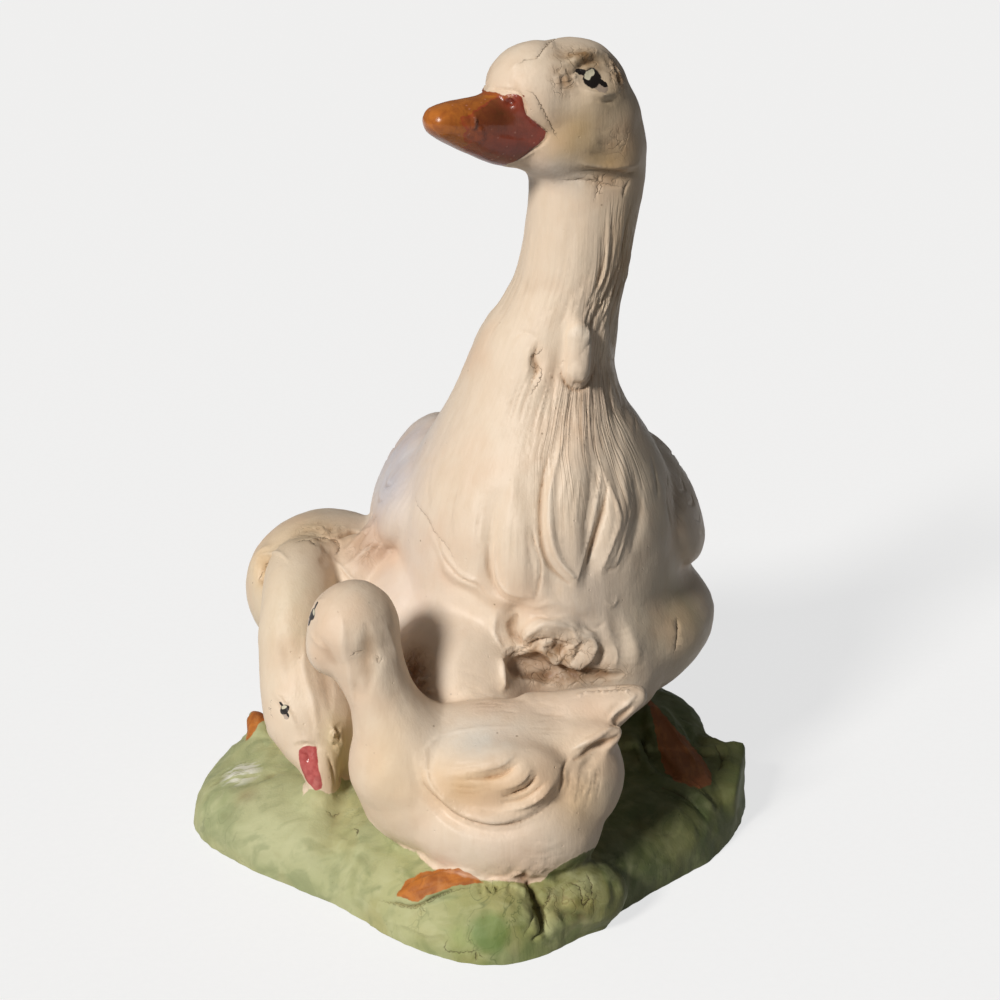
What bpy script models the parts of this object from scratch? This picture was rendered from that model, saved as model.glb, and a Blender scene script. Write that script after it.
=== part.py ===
"""Duck with two ducklings on a grassy mound: one solid casting, modelled as one piece.

Metres. +Z is up and the mother's breast faces -Y, so her left wing is on the +X side.
Each creature is drawn in millimetres at its usual size and scaled to the sizes below.
"""

import math

import bmesh
import bpy
import numpy as np
from mathutils import Matrix, Vector
from mathutils.bvhtree import BVHTree

# The casting
NAME = "duck_with_ducklings"
GRAIN = 0.0018
MELT_ROUNDS = 6
FACETS = 11600
RING_POINTS = 28
SPAN_STEPS = 5

# The mound
MOUND_WIDTH = 0.273
MOUND_DEPTH = 0.254
MOUND_HEIGHT = 0.036
RIM_HEIGHT = 0.018
UNDERSIDE_STOCK = 0.008
MOUND_OUTLINE = (
    (-1.00, 0.05), (-0.95, -0.15), (-0.75, -0.37), (-0.46, -0.60), (-0.20, -0.87), (0.04, -1.00),
    (0.24, -0.95), (0.43, -0.75), (0.62, -0.53), (0.86, -0.27), (1.00, 0.08), (0.98, 0.38),
    (0.82, 0.64), (0.52, 0.90), (0.05, 1.00), (-0.45, 0.92), (-0.80, 0.62), (-0.95, 0.32),
)

# The mother
BREAST_X = 0.033
BREAST_Y = 0.043
BODY_WIDTH = 0.175
BODY_DEPTH = 0.154
BODY_HEIGHT = 0.165
BODY_FOOT = 0.030
NECK_LENGTH = 0.150
NECK_WIDTH = 0.0535
NECK_LEAN = 0.0190
NECK_FORWARD = 0.009
HEAD_LENGTH = 0.072
HEAD_WIDTH = 0.055
HEAD_HEIGHT = 0.056
HEAD_TURN = 30
BILL_LENGTH = 0.0348
BILL_HEIGHT = 0.031
BILL_WIDTH = 0.029
BILL_RISE = 10
WING_LENGTH = 0.104
WING_HEIGHT = 0.070
WING_THICKNESS = 0.032
WING_SLANT = 30
MOTHER_FOOT_LENGTH = 0.060

# The duckling that bends its neck to the ground, on the left
LEFT_X = -0.075
LEFT_Y = 0.060
LEFT_HEIGHT = 0.139
LEFT_DRAWN_HEIGHT = 0.139

# The duckling that lies across the front and looks back
FRONT_X = 0.009
FRONT_Y = -0.068
FRONT_LENGTH = 0.134
FRONT_DRAWN_LENGTH = 0.134

MILLIMETRE = 0.001

# The sizes that the marks were drawn at
BODY_DRAWN_WIDTH = 175
BODY_DRAWN_DEPTH = 154
BODY_DRAWN_HEIGHT = 165
NECK_DRAWN_LENGTH = 150
HEAD_DRAWN_LENGTH = 72
MOTHER_FOOT_DRAWN_LENGTH = 60
GROUND_VIEW_HEIGHT = MOUND_HEIGHT + 0.020

forms = []
marks = []


def spline(points, closed=False):
    """Points along a Catmull-Rom curve through the given rows of numbers."""
    rows = [np.array(p, float) for p in points]
    count = len(rows)
    spans = count if closed else count - 1

    def row(i):
        return rows[i % count] if closed else rows[min(max(i, 0), count - 1)]

    curve = []
    for i in range(spans):
        a, b, c, d = row(i - 1), row(i), row(i + 1), row(i + 2)
        for step in range(SPAN_STEPS):
            t = step / SPAN_STEPS
            slope = (c - a) * t
            bend = (2 * a - 5 * b + 4 * c - d) * t**2 + (3 * b - a - 3 * c + d) * t**3
            curve.append(b + 0.5 * (slope + bend))
    if not closed:
        curve.append(rows[-1])
    return curve


def keep_form(bm):
    """Stores a closed skin among the forms that are fused at the end."""
    bmesh.ops.recalc_face_normals(bm, faces=bm.faces)
    mesh = bpy.data.meshes.new("form")
    bm.to_mesh(mesh)
    bm.free()
    forms.append(mesh)


def bridge_rings(bm, rings):
    """Skins neighbouring rings of vertices and caps both ends."""
    loops = []
    for ring in rings:
        own = set(ring)
        loops.append([e for v in ring for e in v.link_edges if e.other_vert(v) in own])
    for low, high in zip(loops, loops[1:]):
        bmesh.ops.bridge_loops(bm, edges=list(set(low + high)))
    for end in (rings[0], rings[-1]):
        bmesh.ops.contextual_create(bm, geom=end)


def loft(stations, side=(1, 0, 0)):
    """A skin over ellipses. A station is (x, y, z, half width, half depth), with its width along side."""
    line = spline(stations)
    bm = bmesh.new()
    rings = []
    for i, station in enumerate(line):
        before, after = line[max(i - 1, 0)][:3], line[min(i + 1, len(line) - 1)][:3]
        along = Vector(after - before).normalized()
        across = (Vector(side) - along * along.dot(Vector(side))).normalized()
        turn = Matrix((across, along.cross(across), along)).transposed().to_4x4()
        size = Matrix.Diagonal((station[3], station[4], 1, 1))
        place = Matrix.Translation(station[:3]) @ turn @ size
        rings.append(bmesh.ops.create_circle(bm, segments=RING_POINTS, radius=1, matrix=place)["verts"])
    bridge_rings(bm, rings)
    keep_form(bm)


def egg(centre, radii, turn=(0, 0, 0)):
    """An ellipsoid with its half lengths, turned by degrees about X, then Y, then Z."""
    place = Matrix.Translation(centre)
    for angle, axis in zip(reversed(turn), "ZYX"):
        place = place @ Matrix.Rotation(math.radians(angle), 4, axis)
    bm = bmesh.new()
    place = place @ Matrix.Diagonal((*radii, 1))
    bmesh.ops.create_uvsphere(bm, u_segments=RING_POINTS, v_segments=RING_POINTS // 2, radius=1, matrix=place)
    keep_form(bm)


def block(centre, size, turn):
    """A squared lump with its three lengths, turned by degrees about X, then Y, then Z."""
    place = Matrix.Translation(centre)
    for angle, axis in zip(reversed(turn), "ZYX"):
        place = place @ Matrix.Rotation(math.radians(angle), 4, axis)
    bm = bmesh.new()
    bmesh.ops.create_cube(bm, size=1, matrix=place @ Matrix.Diagonal((*size, 1)))
    keep_form(bm)


def drawn(origin, scale):
    """Gives functions that turn millimetres of the drawing into places, sizes and rows of the casting."""

    def place(x, y, z):
        return Vector(origin) + Vector((x, y, z)) * scale

    def size(*lengths):
        return [value * scale for value in lengths]

    def rows(*stations):
        return [(*place(*row[:3]), *size(*row[3:])) for row in stations]

    return place, size, rows


def mark(view, points, width, height, ends=(0.2, 0.2), edge=0.0):
    """Notes a mark in the skin, in metres. A positive height raises the skin and a negative one presses it.

    View "front" or "back" takes points (x, z), "ground" takes (x, y) and "near" takes (x, y, z).
    Width and height fall to the shares in ends at both ends, and edge is the share that keeps full height.
    """
    marks.append((view, points, width, height, ends, edge))


def mound():
    """The ground: a lobed plate with a steep rounded rim and a low dome, and rocks at its front."""
    outline = spline(MOUND_OUTLINE, closed=True)
    crown = MOUND_HEIGHT - RIM_HEIGHT
    levels = (
        (-UNDERSIDE_STOCK, 1.0), (0.0, 1.0), (0.55 * RIM_HEIGHT, 0.99), (RIM_HEIGHT, 0.955),
        (RIM_HEIGHT + 0.40 * crown, 0.88), (RIM_HEIGHT + 0.65 * crown, 0.75),
        (RIM_HEIGHT + 0.88 * crown, 0.52), (MOUND_HEIGHT, 0.22),
    )
    bm = bmesh.new()
    rings = []
    for height, share in levels:
        ring = bmesh.ops.create_circle(bm, segments=len(outline), radius=1)["verts"]
        for vertex, point in zip(ring, outline):
            vertex.co = (point[0] * share * MOUND_WIDTH / 2, point[1] * share * MOUND_DEPTH / 2, height)
        rings.append(ring)
    bridge_rings(bm, rings)
    keep_form(bm)
    half_width, half_depth = MOUND_WIDTH / 2, MOUND_DEPTH / 2
    # Two rocks under the front duckling's breast
    egg((0.10 * half_width, -0.82 * half_depth, 0.33 * MOUND_HEIGHT), (0.019, 0.021, 0.44 * MOUND_HEIGHT))
    second_rock = (0.375 * half_width, -0.715 * half_depth, 0.36 * MOUND_HEIGHT)
    egg(second_rock, (0.022, 0.017, 0.42 * MOUND_HEIGHT), (0, 0, 25))
    # Low swells on the left, a slope beside the mother and a squared lump on the right rim
    egg((-0.60 * half_width, -0.10 * half_depth, 0.40 * MOUND_HEIGHT), (0.040, 0.036, 0.36 * MOUND_HEIGHT))
    egg((-0.62 * half_width, 0.20 * half_depth, 0.50 * MOUND_HEIGHT), (0.040, 0.036, 0.46 * MOUND_HEIGHT))
    egg((0.52 * half_width, 0.40 * half_depth, 0.66 * MOUND_HEIGHT), (0.048, 0.046, 0.60 * MOUND_HEIGHT))
    squared = (0.90 * half_width, 0.09 * half_depth, 0.34 * MOUND_HEIGHT)
    block(squared, (0.022, 0.045, 0.78 * MOUND_HEIGHT), (8, 0, -12))

    def ground(*points):
        return [(x * half_width, y * half_depth) for x, y in points]

    def rock(*points):
        return [(x * half_width, y * half_depth, z * MOUND_HEIGHT) for x, y, z in points]

    mark("ground", ground((-0.42, -0.28), (-0.46, -0.50), (-0.41, -0.62), (-0.35, -0.74)), 0.015, -0.0050)
    mark("ground", ground((-0.62, -0.02), (-0.80, -0.08), (-0.92, -0.05)), 0.008, -0.0016)
    crevice = rock((0.21, -0.83, 0.75), (0.23, -0.88, 0.55), (0.26, -0.93, 0.25))
    mark("near", crevice, 0.0050, -0.0050, (0.8, 0.6))
    mark("near", rock((0.08, -0.90, 0.65), (0.06, -0.97, 0.40)), 0.0045, -0.0020)
    mark("near", rock((0.47, -0.74, 0.65), (0.50, -0.82, 0.40)), 0.0040, -0.0020)


def mother_body():
    """Breast and neck as one upright loft, with the back, rump and tail behind."""
    body = (
        (0.00, 0.28, 0.36), (0.10, 0.48, 0.50), (0.18, 0.69, 0.68), (0.28, 0.89, 0.88), (0.36, 0.98, 0.98),
        (0.42, 1.00, 1.00), (0.47, 0.95, 1.00), (0.52, 0.85, 0.99), (0.57, 0.79, 0.97), (0.65, 0.78, 0.93),
        (0.76, 0.76, 0.87), (0.88, 0.69, 0.77), (1.00, 0.565, 0.645),
    )
    neck = (
        (0.08, 1.56, 1.58, 0.02), (0.16, 1.38, 1.40, 0.08), (0.24, 1.26, 1.27, 0.21), (0.30, 1.13, 1.18, 0.38),
        (0.37, 1.02, 1.11, 0.54), (0.43, 0.96, 1.06, 0.68), (0.53, 0.955, 1.02, 0.85), (0.63, 0.94, 1.00, 0.95),
        (0.71, 0.97, 1.00, 1.05), (0.78, 1.00, 1.02, 1.10), (0.87, 1.06, 1.07, 1.04), (0.95, 0.97, 0.99, 1.00),
        (1.00, 0.66, 0.66, 0.90),
    )
    stations = []
    for height, width, depth in body:
        z = BODY_FOOT + height * BODY_HEIGHT
        y = BREAST_Y - NECK_FORWARD * height**2 * (3 - 2 * height)
        stations.append((BREAST_X, y, z, width * BODY_WIDTH / 2, depth * BODY_DEPTH / 2))
    for height, width, depth, lean in neck:
        z = BODY_FOOT + BODY_HEIGHT + height * NECK_LENGTH
        x = BREAST_X + lean * NECK_LEAN
        stations.append((x, BREAST_Y - NECK_FORWARD, z, width * NECK_WIDTH / 2, depth * NECK_WIDTH / 2))
    loft(stations)
    # The tail is a short fan between the wing tips
    back = BREAST_Y + BODY_DEPTH / 2
    loft(
        (
            (BREAST_X, back - 0.040, 0.62 * BODY_HEIGHT, 0.40 * BODY_WIDTH, 0.034),
            (BREAST_X, back - 0.015, 0.60 * BODY_HEIGHT, 0.30 * BODY_WIDTH, 0.024),
            (BREAST_X, back - 0.001, 0.64 * BODY_HEIGHT, 0.22 * BODY_WIDTH, 0.012),
            (BREAST_X, back + 0.006, 0.67 * BODY_HEIGHT, 0.14 * BODY_WIDTH, 0.005),
        )
    )


def head_frame():
    """The head's centre, and the directions in front of it and to its left."""
    turn = math.radians(HEAD_TURN)
    top = BODY_FOOT + BODY_HEIGHT + NECK_LENGTH
    centre = Vector((BREAST_X + NECK_LEAN - 0.007, BREAST_Y - 0.016, top + 0.003))
    return centre, Vector((-math.cos(turn), -math.sin(turn), 0)), Vector((math.sin(turn), -math.cos(turn), 0))


def mother_head():
    """A full forehead and cheek on top of the neck, and a blunt bill set into them."""
    centre, forward, left = head_frame()
    turn = (0, 0, HEAD_TURN)
    up = Vector((0, 0, HEAD_HEIGHT))
    egg(centre, (0.40 * HEAD_LENGTH, 0.49 * HEAD_WIDTH, 0.49 * HEAD_HEIGHT), turn)
    forehead = centre + forward * 0.235 * HEAD_LENGTH + 0.05 * up
    egg(forehead, (0.33 * HEAD_LENGTH, 0.43 * HEAD_WIDTH, 0.43 * HEAD_HEIGHT), turn)
    nape = centre - forward * 0.10 * HEAD_LENGTH - 0.16 * up
    egg(nape, (0.38 * HEAD_LENGTH, 0.48 * HEAD_WIDTH, 0.42 * HEAD_HEIGHT), turn)
    cheek = centre + forward * 0.05 * HEAD_LENGTH - 0.26 * up
    egg(cheek, (0.37 * HEAD_LENGTH, 0.50 * HEAD_WIDTH, 0.40 * HEAD_HEIGHT), turn)
    rise = Vector((0, 0, math.tan(math.radians(BILL_RISE))))
    root = centre + forward * 0.20 * HEAD_LENGTH - 0.245 * up
    reach = 0.32 * HEAD_LENGTH + BILL_LENGTH
    shares = (
        (0.00, 0.90, 1.10), (0.22, 1.00, 1.10), (0.44, 0.96, 1.00), (0.64, 0.88, 0.78),
        (0.84, 0.80, 0.56), (0.95, 0.62, 0.40), (1.00, 0.28, 0.18),
    )
    stations = []
    for along, width, height in shares:
        place = root + (forward + rise) * along * reach
        stations.append((*place, width * BILL_WIDTH / 2, height * BILL_HEIGHT / 2))
    loft(stations, side=left)


def mother_wings():
    """Folded wings that stand off from the body at their lower edge, and her thighs below them."""
    slant = math.radians(WING_SLANT)
    for sign in (1, -1):
        lift = BODY_FOOT + (0.735 - 0.025 * sign) * BODY_HEIGHT
        centre = Vector((BREAST_X + sign * 0.350 * BODY_WIDTH, BREAST_Y + 0.022, lift))
        egg(
            centre, (0.50 * WING_THICKNESS, 0.50 * WING_LENGTH, 0.50 * WING_HEIGHT),
            (0, -sign * WING_SLANT, 0),
        )
        # The flight feathers narrow to a tip that rests on the rump
        shares = (
            (0.335, 0.00, 0.00, 0.42, 0.48), (0.300, 0.26, -0.08, 0.42, 0.42), (0.225, 0.46, -0.22, 0.36, 0.30),
            (0.125, 0.54, -0.36, 0.24, 0.17), (0.070, 0.575, -0.43, 0.10, 0.07),
        )
        stations = []
        for out, back, up, thickness, height in shares:
            place = Vector((BREAST_X + sign * out * BODY_WIDTH, BREAST_Y + 0.022 + back * WING_LENGTH, lift))
            place.z += up * WING_HEIGHT
            stations.append((*place, thickness * WING_THICKNESS, height * WING_HEIGHT))
        loft(stations, side=(sign * math.cos(slant), 0, math.sin(slant)))
    # The right hip is fuller than the left one
    hip = (BREAST_X - 0.29 * BODY_WIDTH, BREAST_Y - 0.008, BODY_FOOT + 0.41 * BODY_HEIGHT)
    egg(hip, (0.22 * BODY_WIDTH, 0.30 * BODY_DEPTH, 0.23 * BODY_HEIGHT), (0, 8, 0))
    # Both thighs come forward on either side of the crumpled hollow
    right_thigh = (BREAST_X - 0.21 * BODY_WIDTH, BREAST_Y - 0.38 * BODY_DEPTH, BODY_FOOT + 0.29 * BODY_HEIGHT)
    egg(right_thigh, (0.22 * BODY_WIDTH, 0.27 * BODY_DEPTH, 0.27 * BODY_HEIGHT), (0, 6, 0))
    left_thigh = (BREAST_X + 0.18 * BODY_WIDTH, BREAST_Y - 0.28 * BODY_DEPTH, BODY_FOOT + 0.38 * BODY_HEIGHT)
    egg(left_thigh, (0.17 * BODY_WIDTH, 0.22 * BODY_DEPTH, 0.21 * BODY_HEIGHT), (0, -6, 0))


def mother_feathers():
    """Long locks on the breast, the torn hem and crumpled hollow below them, and furrows on the neck."""
    wide = BODY_WIDTH / BODY_DRAWN_WIDTH
    deep = BODY_DEPTH / BODY_DRAWN_DEPTH
    high = BODY_HEIGHT / BODY_DRAWN_HEIGHT
    long = NECK_LENGTH / NECK_DRAWN_LENGTH

    def breast(*points):
        rows = []
        for x, z in points:
            above = max(z - BODY_DRAWN_HEIGHT, 0)
            rows.append((BREAST_X + x * wide, BODY_FOOT + (z - above) * high + above * long))
        return rows

    def low(*points):
        return [(BREAST_X + x * wide, BREAST_Y + y * deep, BODY_FOOT + z * high) for x, y, z in points]

    # Locks: a drop, a long point, two narrow ones and a broad one at the side
    mark("front", breast((-12, 156), (-12, 136), (-12, 120), (-11, 109)), 0.0100, 0.0026, (0.0, 0.9), 0.4)
    point = breast((22, 190), (15, 158), (11, 138), (12, 124), (15, 112))
    mark("front", point, 0.0105, 0.0030, (0.0, 0.5), 0.4)
    mark("front", breast((27, 162), (32, 144), (31, 126), (28, 113)), 0.0052, 0.0022, (0.0, 0.5), 0.3)
    mark("front", breast((37, 166), (38, 144), (36, 128), (33, 113)), 0.0050, 0.0020, (0.0, 0.5), 0.3)
    mark("front", breast((-35, 152), (-33, 130), (-31, 114)), 0.0110, 0.0016, (0.0, 0.8), 0.4)
    mark("front", breast((1, 148), (1, 128), (2, 112)), 0.0060, 0.0014, (0.0, 0.6), 0.3)
    # Furrows between the locks
    mark("front", breast((-21, 148), (-22, 124), (-21, 106)), 0.0030, -0.0014, (0.0, 0.5))
    mark("front", breast((4, 160), (2, 134), (4, 112), (9, 101)), 0.0032, -0.0022, (0.0, 0.5))
    mark("front", breast((-6, 140), (-5, 122), (-4, 108)), 0.0028, -0.0012, (0.0, 0.5))
    mark("front", breast((22, 136), (23, 120), (20, 107)), 0.0030, -0.0020, (0.0, 0.5))
    mark("front", breast((44, 158), (45, 136), (42, 118)), 0.0055, -0.0014, (0.0, 0.4))
    # Torn hem of the breast, raised above and pressed below
    hem = (
        (-54, 127), (-48, 121), (-45, 116), (-43, 110), (-37, 108), (-29, 106), (-22, 101), (-10, 102), (4, 101),
    )
    mark("front", breast(*hem), 0.0050, 0.0016)
    mark("front", breast(*((x, z - 5) for x, z in hem)), 0.0042, -0.0016)
    # The crumpled hollow between the legs
    mark("near", low((-12, -75, 95), (-13, -74, 88), (-10, -76, 82)), 0.0085, -0.0060, (0.7, 0.7))
    mark("near", low((-12, -81, 71), (-2, -80, 70), (5, -77, 66), (14, -77, 65)), 0.0080, -0.0080, (0.8, 0.5))
    fold = low((-16, -80, 79), (-6, -81, 86), (2, -81, 90), (12, -79, 88), (17, -80, 84))
    mark("near", fold, 0.0060, 0.0042, (0.5, 0.5))
    mark("near", low((15, -78, 87), (23, -77, 82), (21, -77, 75), (14, -77, 68)), 0.0045, 0.0034, (0.5, 0.5))
    mark("near", low((31, -76, 92), (33, -75, 78), (32, -74, 66)), 0.0060, 0.0022)
    mark("near", low((40, -72, 94), (43, -71, 79), (42, -69, 66)), 0.0060, 0.0018)
    mark("near", low((-18, -83, 77), (-17, -88, 70), (-17, -90, 65)), 0.0040, 0.0026, (0.6, 0.6))
    mark("front", breast((2, 99), (14, 98), (26, 95)), 0.0045, 0.0014)
    # Teardrop tuft and the furrows that fan out from the neck
    mark("front", breast((15, 228), (17, 212), (17, 200)), 0.0066, 0.0040, (0.0, 1.0), 0.3)
    mark("front", breast((28, 270), (27, 232), (27, 210), (30, 192), (35, 170), (34, 146)), 0.0032, -0.0016)
    mark("front", breast((35, 255), (33, 232), (33, 212), (37, 188), (41, 165)), 0.0032, -0.0018)
    mark("front", breast((22, 236), (23, 220), (25, 200), (24, 175)), 0.0028, -0.0014)
    mark("front", breast((11, 220), (8, 204), (3, 184), (0, 168)), 0.0030, -0.0014)
    mark("front", breast((-1, 212), (-2, 202), (-5, 192)), 0.0032, -0.0024)
    # Plain flight feathers along the back half of the wings, and furrows in the tail
    quill = ((0.43, 0.10, 0.02), (0.42, 0.32, -0.08), (0.32, 0.52, -0.22), (0.18, 0.62, -0.34))
    for sign in (1, -1):
        for step in range(3):
            feather = []
            for out, back, up in quill:
                x = BREAST_X + sign * (out + 0.02 * step) * BODY_WIDTH
                z = BODY_FOOT + 0.735 * BODY_HEIGHT + (up + 0.10 - 0.20 * step * (1 - back)) * WING_HEIGHT
                feather.append((x, BREAST_Y + 0.022 + back * WING_LENGTH, z))
            mark("near", feather, 0.0050, -0.0024)
    for step in (-2, -1, 0, 1, 2):
        mark("back", breast((6 * step, 84), (9 * step, 68)), 0.0040, -0.0020)


def head_marks():
    """Sockets, brows, nostrils and the edge where the bill meets the face, the same on both sides."""
    centre, forward, left = head_frame()
    scale = HEAD_LENGTH / HEAD_DRAWN_LENGTH

    def face(side, *points):
        return [centre + (forward * a + side * left * b + Vector((0, 0, c))) * scale for a, b, c in points]

    for side in (1, -1):
        mark("near", face(side, (8, 22, 13), (3, 23.5, 12), (-3, 23, 10)), 0.0070, -0.0022, (0.7, 0.7))
        mark("near", face(side, (18, 19.5, 15), (7, 18, 20), (-7, 16, 21), (-14, 18, 15)), 0.0050, 0.0022)
        mark("near", face(side, (8, 25, 6), (2, 27, 4.5), (-4, 27, 5)), 0.0040, 0.0014)
        mark("near", face(side, (3, 24, 11.5), (2, 24, 11.5)), 0.0040, 0.0016, (1, 1))
        edge = (
            (34, 5, 11), (35, 13, 8), (33, 17, 2), (31, 18, -3), (22, 18.4, -12), (23, 16.5, -16), (27, 13, -21),
        )
        mark("near", face(side, *edge), 0.0030, -0.0018, (0.6, 0.6))
        mark("near", face(side, (38, 12, 3), (36, 12.6, 3)), 0.0028, -0.0018, (1, 1))
        mark("near", face(side, (24, 17, -15), (40, 13, -10), (55, 10, -7)), 0.0025, -0.0012)
        mark("near", face(side, (10, 22, -24), (0, 27, -26), (-12, 27, -27), (-24, 20, -27)), 0.0050, 0.0018)
        mark("near", face(side, (11, 21, -29), (0, 26, -31), (-12, 27, -32), (-24, 20, -31)), 0.0042, -0.0026)


def mother_foot():
    """Her left foot spreads on the slope to the right, beside a fold of the ground and a low bar."""
    scale = MOTHER_FOOT_LENGTH / MOTHER_FOOT_DRAWN_LENGTH

    def ground(*points):
        return [(BREAST_X + 0.37 * BODY_WIDTH + (x - 98) * scale, y * scale) for x, y in points]

    mark("ground", ground((89, 48), (96, 24), (105, 4), (108, -7)), 12.0 * scale, 0.0034, (0.2, 1.0), 0.7)
    mark("ground", ground((92, 34), (102, 13), (112, -5)), 4.0 * scale, 0.0020)
    mark("ground", ground((75, 30), (81, 12), (87, -9)), 6.0 * scale, 0.0040, (0.5, 0.8))
    mark("ground", ground((82, 34), (87, 10), (92, -8)), 3.0 * scale, -0.0024, (0.5, 0.5))
    mark("ground", ground((86, -14), (100, -18), (115, -23)), 4.2 * scale, 0.0034, (0.8, 0.8), 0.3)
    mark("ground", ground((86, -9), (100, -13), (116, -18)), 2.6 * scale, -0.0028, (0.8, 0.6))
    mark("ground", ground((83, -20), (98, -25), (112, -30)), 2.6 * scale, -0.0028, (0.8, 0.6))


def left_duckling():
    """It sits behind and lays its long neck down, so its bill touches the ground."""
    place, size, rows = drawn((LEFT_X, LEFT_Y, 0), LEFT_HEIGHT / LEFT_DRAWN_HEIGHT * MILLIMETRE)
    egg(place(3, 3, 99), size(42, 44, 39), (-8, 0, 0))
    egg(place(2, -8, 58), size(31, 38, 46))
    egg(place(6, 12, 66), size(36, 42, 50))
    # A short tail at the back
    loft(rows((4, 34, 84, 22, 18), (2, 50, 86, 15, 10), (0, 60, 90, 9, 5), (0, 65, 92, 4, 2)))
    # The neck hangs down in front of the haunch and narrows to the bill
    loft(
        rows(
            (-4, -8, 110, 17, 17), (-7, -28, 119, 17, 17), (-8, -45, 113, 17, 17), (-8, -56, 98, 18, 18),
            (-6, -61, 84, 20, 19), (-2, -67, 72, 23, 20), (1, -75, 61, 22, 19), (3, -82, 52, 17, 15),
            (5, -88, 46, 11, 11), (6, -92, 40, 8, 8), (6, -94, 34, 6, 6),
        )
    )
    egg(place(16, -68, 48), size(11, 16, 26))
    # A lobe and a tuft between this duckling and the mother
    loft(
        rows(
            (35, -10, 141, 5, 6), (31, -18, 133, 10, 11), (23, -25, 120, 12, 12), (16, -31, 108, 10, 10),
            (11, -33, 100, 5, 5),
        )
    )
    egg(place(36, -2, 142), size(11, 9, 7), (0, -30, 0))
    # Its foot behind, and the lump of ground under its bill
    egg(place(-33, -20, 33), size(6, 14, 5), (0, 0, 15))
    egg(place(6, -88, 20), size(17, 20, 17))

    def skin(*points):
        return [place(*point) for point in points]

    # Curled wing, the end of the neck's bend, brow, bill edge and a torn ridge beside the cheek
    mark("near", skin((-31, -16, 112), (-26, -24, 118), (-22, -30, 124)), 0.0100, -0.0055)
    mark("near", skin((-36, -8, 110), (-32, -10, 124), (-25, -16, 131)), 0.0045, 0.0024)
    knuckle = skin((-2, -24, 138), (10, -30, 137), (14, -34, 135), (11, -43, 134), (6, -44, 135))
    mark("near", knuckle, 0.0034, -0.0020)
    mark("near", skin((-17, -81, 81), (-3, -93, 63)), 0.0035, 0.0014)
    mark("near", skin((-7, -92, 54), (-1, -94, 57), (5, -95, 57), (5, -98, 50)), 0.0022, -0.0012)
    mark("near", skin((10, -89, 68), (12, -89, 62), (15, -89, 56), (12, -94, 52)), 0.0036, 0.0026)


def front_duckling():
    """It lies across the front of the mound with its tail to the right, and turns its bill to the back."""
    place, size, rows = drawn((FRONT_X, FRONT_Y, 0), FRONT_LENGTH / FRONT_DRAWN_LENGTH * MILLIMETRE)
    egg(place(0, 0, 59), size(60, 32, 37), (0, -5, 0))
    egg(place(8, -13, 45), size(44, 28, 27), (0, 4, 0))
    egg(place(-39, 0, 68), size(24, 25, 26))
    egg(place(34, 0, 62), size(28, 26, 30), (0, 0, 0))
    loft(rows((-29, 0, 66, 31, 28), (-41, 0, 86, 20, 20), (-48, 1, 103, 15, 16), (-54, 4, 118, 17, 18)))
    egg(place(-59, 9, 129), size(21, 22, 22))
    egg(place(-69, 7, 122), size(12, 14, 14))
    # The bill points away, behind the head
    loft(rows((-64, 23, 124, 12, 10), (-70, 34, 121, 10, 7), (-74, 43, 118, 7, 4)))
    # Upper tail point, then the shorter one below it
    upper = rows((24, 8, 76, 22, 22), (44, 7, 86, 14, 14), (60, 7, 94, 10, 8), (71, 7, 99, 5, 4))
    lower = rows((20, -4, 70, 20, 22), (38, -6, 78, 14, 15), (52, -9, 85, 7, 7), (59, -10, 89, 3, 3))
    loft(upper, side=(0, 1, 0))
    loft(lower, side=(0, 1, 0))
    egg(place(4, -22, 71), size(32, 13, 18), (0, -6, 0))

    def side(*points):
        return [place(x - 9, 0, z).xz for x, z in points]

    # The wing's rim, its curled feathers, the facets under both tail points and the foot
    rim = ((-24, 84), (-23, 77), (-20, 68), (-8, 58), (2, 55), (15, 54), (28, 57), (41, 63))
    mark("front", side(*rim), 0.0044, -0.0028)
    mark("front", side(*((0.93 * x + 1, z + 5) for x, z in rim[1:])), 0.0044, 0.0024)
    mark("front", side((2, 77), (14, 79), (22, 84)), 0.0030, -0.0022)
    mark("front", side((0, 81), (14, 84), (20, 88)), 0.0030, 0.0014)
    mark("front", side((16, 68), (27, 72), (31, 79)), 0.0028, -0.0016)
    mark("front", side((12, 72), (23, 77), (26, 82)), 0.0036, 0.0018)
    mark("front", side((15, 63), (28, 66), (38, 73)), 0.0040, 0.0032, (0.3, 0.6))
    mark("front", side((62, 91), (68, 95), (73, 96)), 0.0040, -0.0022)
    mark("front", side((63, 86), (56, 80), (49, 74)), 0.0045, -0.0030)
    mark("front", side((63, 91), (57, 88), (49, 82)), 0.0028, 0.0016)
    mark("front", side((-69, 138), (-67, 136)), 0.0040, -0.0014, (1, 1))
    mark("front", side((-52, 112), (-44, 104)), 0.0050, -0.0012)

    def sole(*points):
        return [place(x - 9, y + 68, z) for x, y, z in points]

    toes = sole((-31, -101, 17), (-20, -103, 21), (-8, -103, 27), (3, -105, 28))
    mark("near", toes, 0.0075, 0.0024, (0.4, 0.5), 0.6)
    mark("near", sole((-24, -108, 17), (-10, -110, 22), (4, -108, 25)), 0.0035, -0.0016)


def fuse():
    """Joins the forms through a voxel remesh, and melts the creases as a mould does."""
    bm = bmesh.new()
    for mesh in forms:
        bm.from_mesh(mesh)
    joined = bpy.data.meshes.new(NAME)
    bm.to_mesh(joined)
    bm.free()
    for mesh in forms:
        bpy.data.meshes.remove(mesh)
    figure = bpy.data.objects.new(NAME, joined)
    collection.objects.link(figure)
    remesh = figure.modifiers.new("fuse", "REMESH")
    remesh.mode = "VOXEL"
    remesh.voxel_size = GRAIN
    melt(figure, MELT_ROUNDS)
    return figure


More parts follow.
